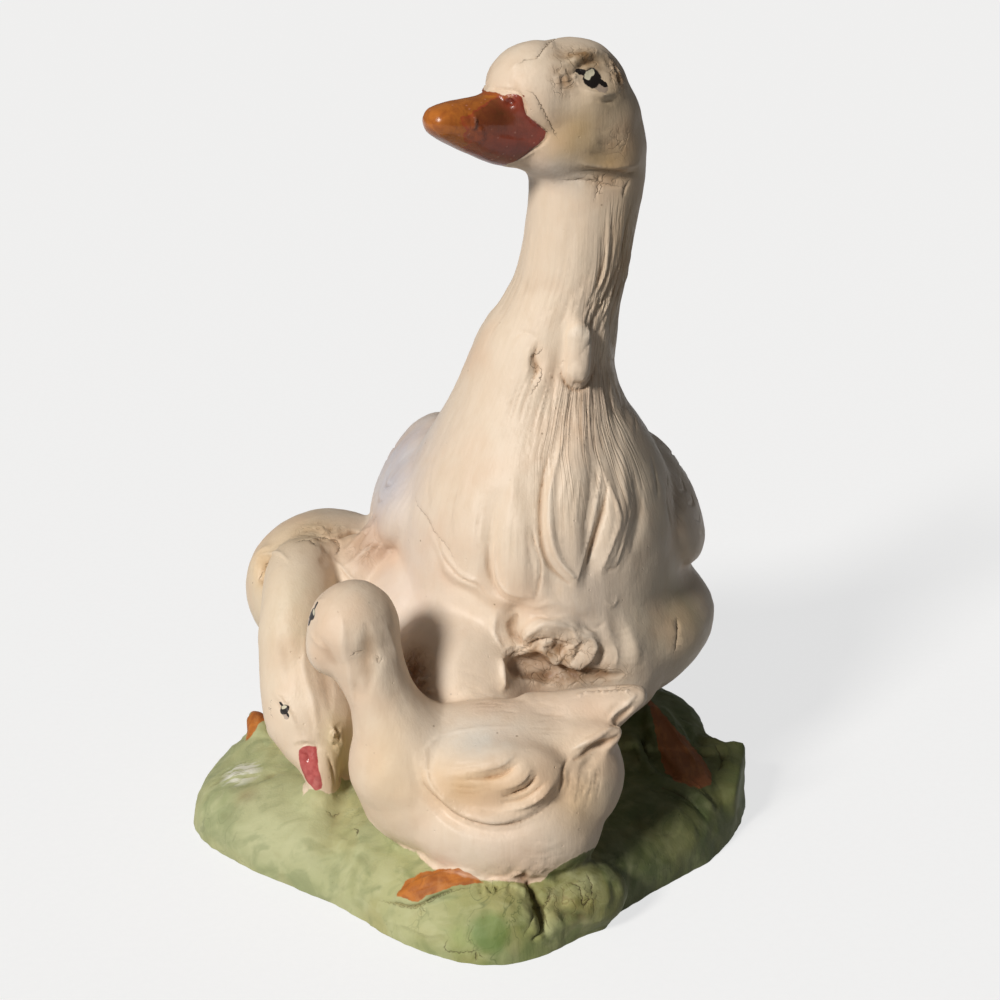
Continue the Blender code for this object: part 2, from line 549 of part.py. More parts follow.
def melt(figure, rounds):
    """Softens the skin a little, and settles the modifiers into the mesh."""
    soft = figure.modifiers.new("melt", "SMOOTH")
    soft.iterations = rounds
    soft.factor = 0.5
    settle(figure)


def settle(figure):
    """Replaces the object's mesh by its evaluated one and drops the modifiers."""
    graph = bpy.context.evaluated_depsgraph_get()
    made = bpy.data.meshes.new_from_object(figure.evaluated_get(graph))
    old = figure.data
    figure.modifiers.clear()
    figure.data = made
    bpy.data.meshes.remove(old)


def drape(tree, view, points):
    """Lays a mark's points on the skin, seen from the view's side."""
    path = []
    for point in spline(points):
        if view == "front":
            place, normal = tree.ray_cast(Vector((point[0], -1, point[1])), Vector((0, 1, 0)))[:2]
        elif view == "back":
            place, normal = tree.ray_cast(Vector((point[0], 1, point[1])), Vector((0, -1, 0)))[:2]
        elif view == "ground":
            above = Vector((point[0], point[1], GROUND_VIEW_HEIGHT))
            place, normal = tree.ray_cast(above, Vector((0, 0, -1)))[:2]
        else:
            place, normal = tree.find_nearest(Vector(point))[:2]
        if place is not None:
            path.append((place, normal))
    return path


def carve(figure):
    """Raises and presses the skin along the noted marks."""
    mesh = figure.data
    count = len(mesh.vertices)
    places = np.empty(count * 3)
    normals = np.empty(count * 3)
    mesh.vertices.foreach_get("co", places)
    mesh.vertices.foreach_get("normal", normals)
    places = places.reshape(-1, 3)
    normals = normals.reshape(-1, 3)
    bm = bmesh.new()
    bm.from_mesh(mesh)
    tree = BVHTree.FromBMesh(bm)
    bm.free()
    for view, points, width, height, ends, edge in marks:
        path = drape(tree, view, points)
        if len(path) < 2:
            continue
        line = np.array([place for place, normal in path])
        facing = np.array([normal for place, normal in path]).mean(axis=0)
        near = ((places > line.min(axis=0) - width) & (places < line.max(axis=0) + width)).all(axis=1)
        near = np.flatnonzero(near & (normals @ facing > 0))
        reach = np.full(len(near), np.inf)
        strength = np.ones(len(near))
        for i in range(len(line) - 1):
            start, along = line[i], line[i + 1] - line[i]
            share = np.clip((places[near] - start) @ along / max(along @ along, 1e-12), 0, 1)
            gap = np.linalg.norm(places[near] - start - share[:, None] * along, axis=1)
            travel = (i + share) / (len(line) - 1)
            first = ends[0] + (1 - ends[0]) * np.clip(3 * travel, 0, 1)
            last = ends[1] + (1 - ends[1]) * np.clip(3 - 3 * travel, 0, 1)
            taper = np.maximum(np.minimum(first, last), 0.02)
            closer = gap / (width * taper) < reach
            reach = np.where(closer, gap / (width * taper), reach)
            strength = np.where(closer, taper, strength)
        rise = np.clip((1 - reach) / (1 - edge), 0, 1)
        places[near] += normals[near] * (height * strength * rise * rise * (3 - 2 * rise))[:, None]
    mesh.vertices.foreach_set("co", places.reshape(-1))
    mesh.update()


def facet(figure):
    """Thins the skin to its budget, then cuts the flat underside on the ground."""
    triangles = sum(len(p.vertices) - 2 for p in figure.data.polygons)
    thin = figure.modifiers.new("thin", "DECIMATE")
    thin.ratio = min(1.0, FACETS / triangles)
    settle(figure)
    bm = bmesh.new()
    bm.from_mesh(figure.data)
    everything = bm.verts[:] + bm.edges[:] + bm.faces[:]
    cut = bmesh.ops.bisect_plane(bm, geom=everything, plane_co=(0, 0, 0), plane_no=(0, 0, 1), clear_inner=True)
    edges = [e for e in cut["geom_cut"] if isinstance(e, bmesh.types.BMEdge)]
    bmesh.ops.contextual_create(bm, geom=edges)
    bmesh.ops.recalc_face_normals(bm, faces=bm.faces)
    bm.to_mesh(figure.data)
    bm.free()


for old in list(bpy.data.objects):
    bpy.data.objects.remove(old)
collection = bpy.data.collections.new("duck with ducklings")
bpy.context.scene.collection.children.link(collection)

mound()
mother_body()
mother_head()
mother_wings()
mother_feathers()
head_marks()
mother_foot()
left_duckling()
front_duckling()
figure = fuse()
carve(figure)
melt(figure, MELT_ROUNDS // 3)
facet(figure)
figure.data.shade_smooth()
figure.data.set_sharp_from_angle(angle=math.radians(70))

paint = bpy.data.materials.new("cream_painted_plaster")
paint.use_nodes = True
paint.node_tree.nodes["Principled BSDF"].inputs["Base Color"].default_value = (0.72, 0.62, 0.48, 1)
paint.node_tree.nodes["Principled BSDF"].inputs["Roughness"].default_value = 0.5
figure.data.materials.clear()
figure.data.materials.append(paint)
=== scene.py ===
"""The painted look of a duck with two ducklings on a grassy mound, one plaster casting.

Places and lengths of marks are in millimetres in the casting's own frame: +Z is up and the
mother's breast faces -Y.
"""

import math
import random

import bmesh
import bpy
import numpy as np
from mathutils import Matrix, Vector, noise
from mathutils.bvhtree import BVHTree


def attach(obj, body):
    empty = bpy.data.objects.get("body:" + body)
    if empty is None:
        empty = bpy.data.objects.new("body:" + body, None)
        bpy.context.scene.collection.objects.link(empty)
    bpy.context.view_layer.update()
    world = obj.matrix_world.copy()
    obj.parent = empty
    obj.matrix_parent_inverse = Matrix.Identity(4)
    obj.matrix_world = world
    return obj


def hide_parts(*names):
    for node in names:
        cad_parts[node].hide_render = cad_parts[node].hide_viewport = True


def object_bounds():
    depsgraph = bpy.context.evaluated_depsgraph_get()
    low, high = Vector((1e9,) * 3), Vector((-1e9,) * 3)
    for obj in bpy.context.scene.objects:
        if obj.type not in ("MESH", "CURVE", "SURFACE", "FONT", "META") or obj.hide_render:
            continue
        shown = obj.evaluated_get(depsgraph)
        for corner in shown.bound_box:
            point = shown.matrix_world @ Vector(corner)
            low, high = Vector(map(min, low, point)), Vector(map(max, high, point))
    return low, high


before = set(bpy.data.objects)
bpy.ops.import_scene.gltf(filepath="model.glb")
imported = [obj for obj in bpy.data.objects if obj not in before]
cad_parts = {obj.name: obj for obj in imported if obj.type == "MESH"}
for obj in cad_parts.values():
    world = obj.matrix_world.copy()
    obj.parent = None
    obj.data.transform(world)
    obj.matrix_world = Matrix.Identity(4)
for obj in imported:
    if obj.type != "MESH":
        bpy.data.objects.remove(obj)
cad_low, cad_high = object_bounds()

# The skin of the casting
# The figure is one hollow casting in plaster, poured in a rubber mould. Its form is the node's own,
# made dense enough to take the marks of the modelling knife and the comb.
NODE = "duck_with_ducklings"
MILLIMETRE = 0.001
cast = bpy.data.objects.new("plaster_casting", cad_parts[NODE].data.copy())
bpy.context.scene.collection.objects.link(cast)

UNDERSIDE_STOCK = 0.006
GRAIN = 0.00095
bm = bmesh.new()
bm.from_mesh(cast.data)
bmesh.ops.remove_doubles(bm, verts=bm.verts, dist=0.00001)
for vertex in bm.verts:
    if vertex.co.z < 0.00001:
        vertex.co.z -= UNDERSIDE_STOCK
bm.to_mesh(cast.data)
bm.free()


def settle(obj):
    """Replaces the object's mesh by its evaluated one and drops the modifiers."""
    graph = bpy.context.evaluated_depsgraph_get()
    made = bpy.data.meshes.new_from_object(obj.evaluated_get(graph))
    obj.modifiers.clear()
    obj.data = made


def soften(obj, rounds):
    """Evens the skin by a few rounds of smoothing."""
    melt = obj.modifiers.new("melt", "SMOOTH")
    melt.iterations = rounds
    melt.factor = 0.5
    settle(obj)


round_off = cast.modifiers.new("round off", "SUBSURF")
round_off.levels = 2
round_off.render_levels = 2
remesh = cast.modifiers.new("even grain", "REMESH")
remesh.mode = "VOXEL"
remesh.voxel_size = GRAIN
soften(cast, 4)
count = len(cast.data.vertices)


def read_skin(mesh):
    """The places and normals of a mesh as arrays, places in millimetres."""
    co = np.empty(len(mesh.vertices) * 3)
    mesh.vertices.foreach_get("co", co)
    no = np.empty(len(mesh.vertices) * 3)
    mesh.vertices.foreach_get("normal", no)
    return co.reshape(-1, 3) / MILLIMETRE, no.reshape(-1, 3)


def skin_tree(mesh):
    """A search tree over a mesh."""
    shell = bmesh.new()
    shell.from_mesh(mesh)
    tree = BVHTree.FromBMesh(shell)
    shell.free()
    return tree


places, normals = read_skin(cast.data)
smooth_tree = skin_tree(cast.data)
rise = np.zeros(count)

# Where the ground ends and the birds begin
# The mound was modelled round the birds and painted green up to them, so a place belongs to the ground
# when it lies low and away from every bird. The birds are told by simple eggs: centre, half lengths.
BIRDS = (
    ((33, 43, 95), (78, 70, 58)), ((-4, -15.5, 78), (38.5, 41.6, 44.6)), ((64.5, 0, 93), (30, 34, 35)),
    ((9, -68, 59), (60, 32, 37)), ((17, -81, 45), (44, 28, 27)), ((-30, -68, 68), (24, 25, 26)),
    ((43, -68, 62), (28, 26, 30)), ((-73, 52, 58), (31, 38, 46)), ((-69, 72, 66), (36, 42, 50)),
    ((-74, -15, 61), (22, 22, 22)), ((-72, -22, 52), (17, 17, 17)), ((-71, -30, 45), (11, 12, 13)),
    ((-72, -36, 38), (5.5, 6, 8)), ((-59, -8, 48), (11, 16, 26)),
)
ROCK = (((54, -98, 25), (21, 17, 13)), ((-74, -43, 32), (12, 9, 7)))
BIRD_MARGIN = 2.0
GROUND_TOP = 52.0


def from_eggs(points, eggs):
    """Distance from points to the nearest of several eggs, in millimetres."""
    nearest = np.full(len(points), 1e6)
    for centre, radii in eggs:
        offset = points - np.array(centre, float)
        size = np.array(radii, float)
        near = np.linalg.norm(offset / size, axis=1)
        slope = np.linalg.norm(offset / size**2, axis=1)
        nearest = np.minimum(nearest, near * (near - 1) / np.maximum(slope, 1e-9))
    return nearest


def ground_share(points):
    """How far inside the green ground a place lies, in millimetres; below zero it is a bird."""
    free = np.minimum(from_eggs(points, BIRDS) - BIRD_MARGIN, (GROUND_TOP - points[:, 2]) * 2)
    return np.maximum(free, -from_eggs(points, ROCK))


ground = ground_share(places)

# Marks of the modelling tools
# The model was worked in clay with a wire tool and a comb before the mould was made. A mark is a path
# on the skin with a half width and a height; a negative height is a groove.
SPAN_STEPS = 6
AXIS_HEIGHTS = (195, 235, 275, 345)
AXIS_PLACES = (33, 43, 50, 52)
AXIS_DEPTH = 34
GROUND_VIEW = 58
dice = random.Random(11)


def spline(points):
    """Points along a Catmull-Rom curve through the given rows of numbers."""
    rows = [np.array(p, float) for p in points]
    rows = [rows[0]] + rows + [rows[-1]]
    curve = []
    for a, b, c, d in zip(rows, rows[1:], rows[2:], rows[3:]):
        for step in range(SPAN_STEPS):
            t = step / SPAN_STEPS
            bend = (2 * a - 5 * b + 4 * c - d) * t**2 + (3 * b - a - 3 * c + d) * t**3
            curve.append(b + 0.5 * ((c - a) * t + bend))
    curve.append(rows[-1])
    return curve


def drape(view, points):
    """Lays a path on the smooth skin. Front and back take (x, z), ground takes (x, y), round takes
    (degrees, z) about the neck's axis, and near takes (x, y, z)."""
    path = []
    for point in spline(points):
        if view == "near":
            place, normal = smooth_tree.find_nearest(Vector(point) * MILLIMETRE)[:2]
        else:
            if view == "ground":
                start, way = Vector((point[0], point[1], GROUND_VIEW)), Vector((0, 0, -1))
            elif view == "round":
                angle = math.radians(point[0])
                out = Vector((math.sin(angle), -math.cos(angle), 0))
                axis = Vector((np.interp(point[1], AXIS_HEIGHTS, AXIS_PLACES), AXIS_DEPTH, point[1]))
                start, way = axis + out * 140, -out
            else:
                side = -1 if view == "front" else 1
                start, way = Vector((point[0], side * 500, point[1])), Vector((0, -side, 0))
            place, normal = smooth_tree.ray_cast(start * MILLIMETRE, way)[:2]
        if place is not None:
            path.append((np.array(place) / MILLIMETRE, np.array(normal)))
    return path


def mark(view, points, width, height, ends=(0.1, 0.1), edge=0.0):
    """Adds one mark to the rise of the skin. Ends are the shares of width and height left at both
    ends, and edge is the share of the width that keeps the full height."""
    path = drape(view, points)
    if len(path) < 2:
        return
    line = np.array([place for place, normal in path])
    facing = np.array([normal for place, normal in path]).mean(axis=0)
    inside = ((places > line.min(axis=0) - width) & (places < line.max(axis=0) + width)).all(axis=1)
    near = np.flatnonzero(inside)
    near = near[normals[near] @ facing > 0]
    reach = np.full(len(near), np.inf)
    strength = np.ones(len(near))
    for i in range(len(line) - 1):
        start, along = line[i], line[i + 1] - line[i]
        share = np.clip((places[near] - start) @ along / max(along @ along, 1e-9), 0, 1)
        gap = np.linalg.norm(places[near] - start - share[:, None] * along, axis=1)
        travel = (i + share) / (len(line) - 1)
        first = ends[0] + (1 - ends[0]) * np.clip(3 * travel, 0, 1)
        last = ends[1] + (1 - ends[1]) * np.clip(3 - 3 * travel, 0, 1)
        taper = np.maximum(np.minimum(first, last), 0.03)
        closer = gap / (width * taper) < reach
        reach = np.where(closer, gap / (width * taper), reach)
        strength = np.where(closer, taper, strength)
    lift = np.clip((1 - reach) / (1 - edge), 0, 1)
    rise[near] += height * strength * lift * lift * (3 - 2 * lift)


def comb(view, left, right, strokes, width, height, trim=0.25, waver=0.25):
    """Strokes drawn side by side between two guide lines, each a little off, as a comb leaves them."""
    first, last = spline(left), spline(right)
    for stroke in range(strokes):
        share = (stroke + dice.uniform(0.3, 0.7)) / strokes
        begin = int(dice.uniform(0, trim) * len(first))
        stop = len(first) - int(dice.uniform(0, trim) * len(first))
        wave, phase = dice.uniform(0.3, 1.0) * waver / strokes, dice.uniform(0, 6.3)
        points = []
        for i in range(begin, max(stop, begin + 3), 3):
            i = min(i, len(first) - 1)
            lean = share + wave * math.sin(phase + i * 0.45)
            points.append(first[i] * (1 - lean) + last[i] * lean)
        if len(points) > 1:
            mark(view, points, width * dice.uniform(0.8, 1.25), height * dice.uniform(0.6, 1.25))


crack_lines = []


def crack(points, width=0.8, depth=0.7, dark=0.7):
    """A hairline crack: a shallow groove whose dark line is painted on later."""
    mark("near", points, width, -depth)
    crack_lines.append(([place for place, normal in drape("near", points)], dark))


# The mother's neck and breast feathers
# Feathers are only drawn: fine wavy grooves run down the neck from the collar, fan over the breast
# and end in long pointed locks above a torn hem.
comb("round", ((24, 306), (22, 284), (14, 262), (4, 244), (-4, 232)),
     ((92, 306), (90, 284), (84, 262), (74, 244), (64, 232)), 17, 1.25, -0.8, 0.3, 0.9)
comb("round", ((30, 300), (24, 276), (12, 252), (0, 236)),
     ((80, 300), (76, 276), (66, 252), (56, 236)), 9, 1.1, 0.5, 0.45, 1.2)
comb("round", ((-2, 290), (-6, 262), (-10, 246)), ((24, 290), (18, 262), (10, 246)), 6, 1.1, -0.4, 0.5)
comb("round", ((-60, 306), (-58, 280), (-54, 250), (-50, 220)), ((0, 306), (-4, 280), (-12, 250), (-18, 226)),
     8, 1.2, -0.2, 0.5)
comb("round", ((96, 300), (96, 270), (92, 240), (84, 215)), ((170, 300), (170, 270), (165, 240), (150, 215)),
     10, 1.3, -0.35, 0.4)
comb("round", ((-170, 300), (-170, 270), (-165, 240), (-150, 215)), ((-64, 300), (-64, 270), (-60, 240), (-60, 215)),
     12, 1.3, -0.3, 0.4)
comb("front", ((30, 238), (23, 224), (16, 208), (12, 194)), ((66, 240), (71, 225), (76, 210), (79, 195)),
     22, 1.05, -0.56, 0.22, 0.35)
comb("front", ((36, 226), (30, 208), (26, 192)), ((66, 228), (72, 208), (74, 192)), 12, 0.9, 0.3, 0.4)
comb("front", ((-16, 210), (-24, 190), (-30, 172)), ((16, 212), (8, 195), (2, 176)), 7, 1.2, -0.16, 0.4)
# The pointed lock in the middle, with a lit left rim
mark("front", ((46, 208), (40, 192), (37, 174), (38, 160), (42, 150), (48, 143)), 3.0, 2.2, (0.0, 0.5))
mark("front", ((49, 141), (54, 157), (57, 169), (60, 184), (59, 196)), 1.7, 0.9, (0.5, 0.0))
mark("front", ((41, 206), (35, 190), (32.5, 172), (33.5, 157), (38, 146), (46, 139)), 2.0, -1.6, (0.0, 0.5))
mark("front", ((54, 147), (57, 157), (61, 169), (64, 184)), 2.2, -1.8, (0.4, 0.0))
comb("front", ((46, 200), (40, 184), (39, 168), (43, 152)), ((57, 200), (57, 184), (54, 168), (50, 152)), 5, 1.1, -0.3)
# The drop lock to its left, with a rim at the bottom
mark("front", ((14, 163), (12, 152), (13, 143), (16, 137), (23, 134), (30, 134)), 1.4, 0.9, (0.0, 0.6))
mark("front", ((11, 163), (9, 152), (10, 142), (14, 134), (23, 130)), 1.7, -0.8, (0.0, 0.2))
mark("front", ((31, 134), (33, 147), (30, 159), (29, 168)), 1.4, -1.0, (0.6, 0.0))
comb("front", ((16, 172), (15, 158), (16, 144)), ((29, 172), (29, 158), (29, 144)), 4, 1.0, -0.3)
# Narrow locks to the right
mark("front", ((59, 191), (65, 178), (69, 166), (65, 154), (60, 143)), 1.8, 0.8, (0.0, 0.4))
mark("front", ((64, 191), (70, 178), (73, 166), (69, 152), (63, 141)), 1.8, -0.45, (0.0, 0.3))
mark("front", ((74, 186), (75, 171), (71, 156), (67, 143)), 1.7, 0.5, (0.0, 0.3))
mark("front", ((79, 186), (80, 170), (76, 154), (71, 142)), 1.8, -0.3, (0.0, 0.3))
comb("front", ((60, 182), (61, 168), (58, 152)), ((68, 182), (71, 168), (66, 152)), 3, 1.1, -0.25)
mark("front", ((85, 185), (87, 175), (88, 166)), 0.9, -0.5)
mark("front", ((91, 190), (93, 178), (94, 166)), 0.9, -0.4)
# Faint locks to the left
mark("front", ((6, 171), (4, 161), (6, 151)), 1.2, -0.4)
mark("front", ((-4, 180), (-8, 164), (-5, 152)), 1.4, -0.3)
mark("front", ((-16, 186), (-19, 172), (-17, 160)), 1.3, -0.3)
# A teardrop of clay that slid down, and a chipped notch beside it
mark("front", ((51, 252), (50.5, 241), (50, 229.5)), 8.2, 2.2, (0.0, 1.0), 0.3)
mark("front", ((42, 236), (42, 230), (44, 224.6), (49, 220.6), (55, 222), (58.4, 229), (58.6, 238)), 1.4, -1.2, (0.0, 0.1))
mark("front", ((50, 230), (50.4, 228)), 5.0, 0.9, (1, 1))
mark("front", ((32, 242), (30, 236), (31, 230), (28, 223)), 1.7, -1.6)
crack(((32, -4, 242), (30, -6, 236), (31, -8, 230), (27, -12, 222)))
mark("front", ((28, 243), (27, 236), (27, 229), (25, 224)), 1.2, 0.5)
mark("front", ((21, 243), (25, 246), (32, 244)), 1.0, -0.4)
# The torn hem of the breast
HEM = ((-20, 157), (-15, 153), (-12, 146), (-6, 140), (-1, 138), (4, 137), (9, 131), (11, 125))
mark("front", HEM, 1.1, -0.8)
mark("front", [(x + 1.4, z + 1.4) for x, z in HEM], 1.4, 0.5)
crack(((-36, 8, 170), (-33, 2, 166), (-26, -8, 162), (-20, -15, 157), (-14, -22, 152), (-9, -28, 143)), 1.0, 0.5, 0.25)
# The crumpled hollow between the legs
mark("near", ((13, -31, 125), (12, -34, 116), (16, -37, 108)), 1.6, 0.9)
mark("near", ((21, -32, 123), (20, -31, 116), (24, -34, 111)), 3.2, -1.4, (0.5, 0.5))
mark("near", ((16, -37, 108), (27, -38, 116), (35, -38, 121), (46, -36, 118), (51, -37, 113)), 1.8, 1.4, (0.4, 0.3))
mark("near", ((19, -37, 104), (28, -38, 111), (36, -38, 115), (43, -36, 112)), 1.5, -1.2, (0.4, 0.4))
mark("near", ((51, -37, 113), (45, -36, 108), (40, -35, 101), (39, -34, 96)), 1.6, 1.2, (0.4, 0.4))
mark("near", ((30, -38, 118), (32, -37, 112), (29, -37, 107)), 1.1, -0.8)
mark("near", ((39, -38, 119), (40, -37, 112), (37, -36, 107)), 1.2, -0.9)
mark("near", ((47, -36, 117), (56, -34, 112), (54, -35, 104), (47, -34, 98)), 1.6, 1.1)
mark("near", ((52, -35, 113), (50, -35, 107), (45, -34, 101)), 1.2, -0.9)
mark("near", ((18, -36, 112), (28, -38, 120), (40, -38, 123), (52, -36, 120), (60, -34, 112)), 4.5, 1.5)
mark("near", ((26, -37, 97), (40, -36, 96), (54, -34, 95), (70, -28, 94)), 5.0, -2.4, (0.5, 0.3))
mark("near", ((52, -34, 119), (58, -33, 117), (64, -32, 121)), 1.4, -0.7)
mark("near", ((58, -34, 111), (61, -33, 104), (59, -33, 98)), 1.4, -0.7)
mark("near", ((66, -33, 112), (68, -32, 104), (66, -31, 98)), 1.4, 0.6)
mark("near", ((15, -41, 107), (16, -45, 101), (16, -47, 95)), 1.3, 1.0, (0.3, 0.6))
mark("near", ((19, -43, 105), (20, -46, 99), (21, -48, 95)), 1.2, -0.8, (0.3, 0.6))
mark("near", ((22, -36, 108), (25, -37, 105), (23, -39, 102)), 1.0, 0.7)
mark("front", ((60, 146), (66, 143), (70, 147)), 1.4, -0.5)
mark("front", ((62, 130), (66, 126), (70, 131)), 1.8, 0.5)
mark("front", ((24, 131), (31, 129), (38, 131), (46, 128)), 1.8, 0.6)
mark("front", ((28, 126), (36, 124), (44, 126)), 1.4, -0.6)
crack(((99, -3, 111), (98, -5, 107), (97, -9, 101), (96, -13, 95)))
comb("near", ((-8, -50, 108), (4, -52, 104), (14, -51, 101)), ((-4, -52, 96), (6, -54, 94), (15, -53, 92)), 5, 1.0, -0.3)
comb("near", ((60, -33, 120), (70, -30, 116), (82, -24, 120)), ((58, -33, 100), (70, -30, 96), (84, -22, 98)), 7, 1.1, -0.22)

# The mother's head
# The face was modelled separately and pressed on: a seam and a hairline crack show where it joins,
# and the cheeks end in a step over the neck. Both sides of the face are alike.
HEAD_CENTRE = np.array((45.0, 27.0, 348.0))
HEAD_FORWARD = np.array((-math.cos(math.radians(30)), -math.sin(math.radians(30)), 0.0))
HEAD_LEFT = np.array((math.sin(math.radians(30)), -math.cos(math.radians(30)), 0.0))


def face(side, points):
    """Places of the head given as forward, sideways and up from its middle."""
    return [HEAD_CENTRE + HEAD_FORWARD * a + HEAD_LEFT * side * b + np.array((0, 0, c)) for a, b, c in points]


for side in (1, -1):
    mark("near", face(side, ((15, 19, 17), (10, 20, 21), (3, 20, 23.5), (-6, 18, 22), (-12, 18, 16))), 2.4, 1.1)
    mark("near", face(side, ((12, 22, 13), (7, 22, 17.5), (-1, 21.5, 19.5), (-8, 20, 17))), 2.0, -1.3)
    mark("near", face(side, ((10, 23, 13), (4, 24, 17), (-2, 23.5, 16.4), (-9, 22, 11))), 1.0, 0.6)
    mark("near", face(side, ((10, 23, 9), (4, 25.5, 6), (-3, 26, 4.6), (-11, 24, 6))), 1.3, 0.9)
    mark("near", face(side, ((9, 24, 6), (2, 27, 3), (-5, 27, 2), (-12, 25, 4))), 1.2, -0.6)
    comb("near", face(side, ((16, 20, 14), (17, 20, 11), (16, 20, 8))), face(side, ((10, 23, 14), (11, 23, 11), (10, 23, 8))),
         5, 0.9, -0.6, 0.5, 2.0)
    comb("near", face(side, ((13, 20, 17), (9, 20.5, 18.6), (5, 21, 19))), face(side, ((14, 20, 12), (10, 22, 14), (6, 23, 15))),
         4, 0.8, 0.5, 0.5, 2.0)
    comb("near", face(side, ((-9, 20, 18), (-11, 20, 14), (-13, 20, 9))), face(side, ((-15, 17, 17), (-17, 17, 13), (-18, 17, 8))),
         5, 0.9, -0.5, 0.5, 2.0)
    comb("near", face(side, ((3, 26, -6), (-6, 26, -12), (-14, 24, -18))), face(side, ((12, 22, -18), (0, 27, -22), (-14, 25, -24))),
         6, 1.3, -0.2, 0.5, 1.0)
    mark("near", face(side, ((9, 22, -23), (0, 26, -26), (-12, 26, -27), (-22, 20, -27))), 1.7, 0.8, (0.3, 0.3))
    mark("near", face(side, ((6, 22, -28), (0, 26, -30), (-10, 26, -30.4), (-20, 20, -30))), 1.5, -1.2, (0.3, 0.3))
    mark("near", face(side, ((38, 12, 3), (36, 12.6, 3))), 1.8, -1.3, (1, 1))
    mark("near", face(side, ((41, 10, 5.4), (38, 12.5, 5.2), (34.6, 13.6, 4))), 1.2, 0.7)
    mark("near", face(side, ((24, 17, -15), (34, 14.5, -12), (46, 12, -9.5))), 1.0, -0.25)
    for crumb in range(12):
        speck = face(side, ((57 - 0.5 * crumb + dice.uniform(-1.6, 1.6), 10, 4 - 1.5 * crumb),))[0]
        mark("near", (speck, speck + 0.4), dice.uniform(1.0, 1.7), dice.choice((0.7, 0.5, -0.5)), (1, 1))
    BILL_EDGE = ((41, 3, 8.4), (38.6, 9, 8.4), (34, 14, 7), (32.4, 16.4, 2), (31, 17, -3), (26, 17.6, -7.5),
                 (22.3, 18.6, -11), (24, 17, -15.4), (28, 13.5, -20), (32, 9, -23.5))
    mark("near", face(side, BILL_EDGE), 1.1, -0.9, (0.8, 0.6))
    mark("near", face(side, [(a - 1.6, b + 0.8, c) for a, b, c in BILL_EDGE]), 1.2, 0.35, (0.8, 0.6))
crack(((26, -4, 356), (30, -4, 354), (32, -4, 350), (34, -3, 346), (36, -3, 342), (38, -1, 338), (40, -1, 335)))
crack(((22, 3, 366), (26, 4, 368), (30, 4, 369), (33, 8, 372), (36, 16, 374), (39, 27, 374), (42, 40, 371)), 1.0, 0.8, 0.6)
mark("near", ((18, 3, 364), (21, 3, 366), (25, 4, 368)), 1.4, 0.5)
mark("near", ((36, 27, 374), (37, 16, 374), (38, 6, 371)), 1.8, 0.4)
crack(((41, 9, 315), (50, 8, 316), (59, 8, 314), (70, 13, 311)), 1.0, 0.8, 0.4)
crack(((58, 9, 318), (58, 7, 313), (57, 7, 307)))
crack(((72, 15, 314), (70, 13, 311), (69, 12, 306)))

# Her wings and tail
# Folded wings lie flat on the body. Their long feathers are drawn with single grooves.
for side in (1, -1):
    for step in range(5):
        feather = []
        for out, back, up in ((0.44, 0.00, 0.10), (0.45, 0.20, 0.02), (0.40, 0.40, -0.10), (0.28, 0.56, -0.24)):
            drop = (0.30 - 0.15 * step) * (1 - 0.9 * back)
            feather.append((33 + side * (out + 0.008 * step) * 175, 65 + back * 104, 151 + (up + drop) * 70))
        mark("near", feather, 1.5, -0.9)
    for step in range(4):
        x = 33 + side * (76 + 3 * step)
        mark("near", ((x, 30, 168 - 9 * step), (x + 2 * side, 40, 163 - 9 * step), (x, 50, 166 - 9 * step)), 1.6, -0.6)
    comb("near", ((33 + side * 70, 20, 175), (33 + side * 76, 30, 165), (33 + side * 80, 36, 150)),
         ((33 + side * 62, 12, 172), (33 + side * 68, 10, 155), (33 + side * 72, 16, 140)), 6, 1.1, -0.3)
mark("near", ((92, 18, 171), (93, 11, 159), (96, 11, 144)), 1.3, -0.5)
for step in (-3, -2, -1, 0, 1, 2, 3):
    mark("back", ((33 + 5 * step, 118), (33 + 7.5 * step, 98)), 1.3, -0.8)

# The duckling that lays its neck to the ground
mark("near", ((-108, 46, 112), (-103, 47, 122), (-91, 23, 132), (-85, 12, 131)), 1.8, 0.9)
mark("near", ((-105, 40, 113), (-101, 34, 119), (-96, 26, 124)), 4.5, -1.5, (0.4, 0.4))
crack(((-109, 36, 117), (-103, 38, 119), (-97, 34, 122)), 1.3, 0.9)
crack(((-103, 44, 114), (-100, 40, 119), (-95, 42, 123)), 1.2, 0.8)
mark("near", ((-104, 28, 122), (-100, 33, 118), (-102, 42, 112)), 1.1, 0.7)
crack(((-77, 43, 134), (-72, 41, 133), (-65, 40, 132), (-64, 35, 129), (-66, 32, 128)), 1.4, 1.1)
crack(((-84, 30, 132), (-78, 33, 134), (-74, 28, 134)))
mark("near", ((-80, 30, 134), (-74, 38, 136), (-68, 40, 136)), 1.2, 0.6)
mark("near", ((-92, -19, 80), (-86, -26, 76), (-79, -33, 65)), 1.2, 0.7)
mark("near", ((-90, -22, 76), (-84, -29, 70)), 2.0, -0.6, (0.6, 0.6))
LEFT_BILL_EDGE = ((-83, -32, 56), (-79, -33, 58.4), (-75, -34, 59), (-71, -34, 58), (-70, -37, 52))
mark("near", LEFT_BILL_EDGE, 1.0, -0.8)
mark("near", [(x, y + 1, z + 2) for x, y, z in LEFT_BILL_EDGE[:4]], 1.2, 0.6)
mark("near", ((-76.5, -36, 55), (-75.5, -37, 52.5)), 1.8, -1.0, (1, 1))
mark("near", ((-65, -30, 68), (-63, -31, 64), (-64, -32, 60), (-62, -33, 57)), 1.5, 1.6)
mark("near", ((-62, -30, 68), (-60, -31, 63), (-60, -32, 57)), 1.3, -1.0)
for height in (66, 62, 58):
    mark("near", ((-66, -30, height), (-63, -31, height - 1), (-61, -31, height + 1)), 0.8, -0.8)
mark("near", ((-67, -33, 55), (-64, -35, 46), (-63, -36, 38)), 1.3, -0.9)
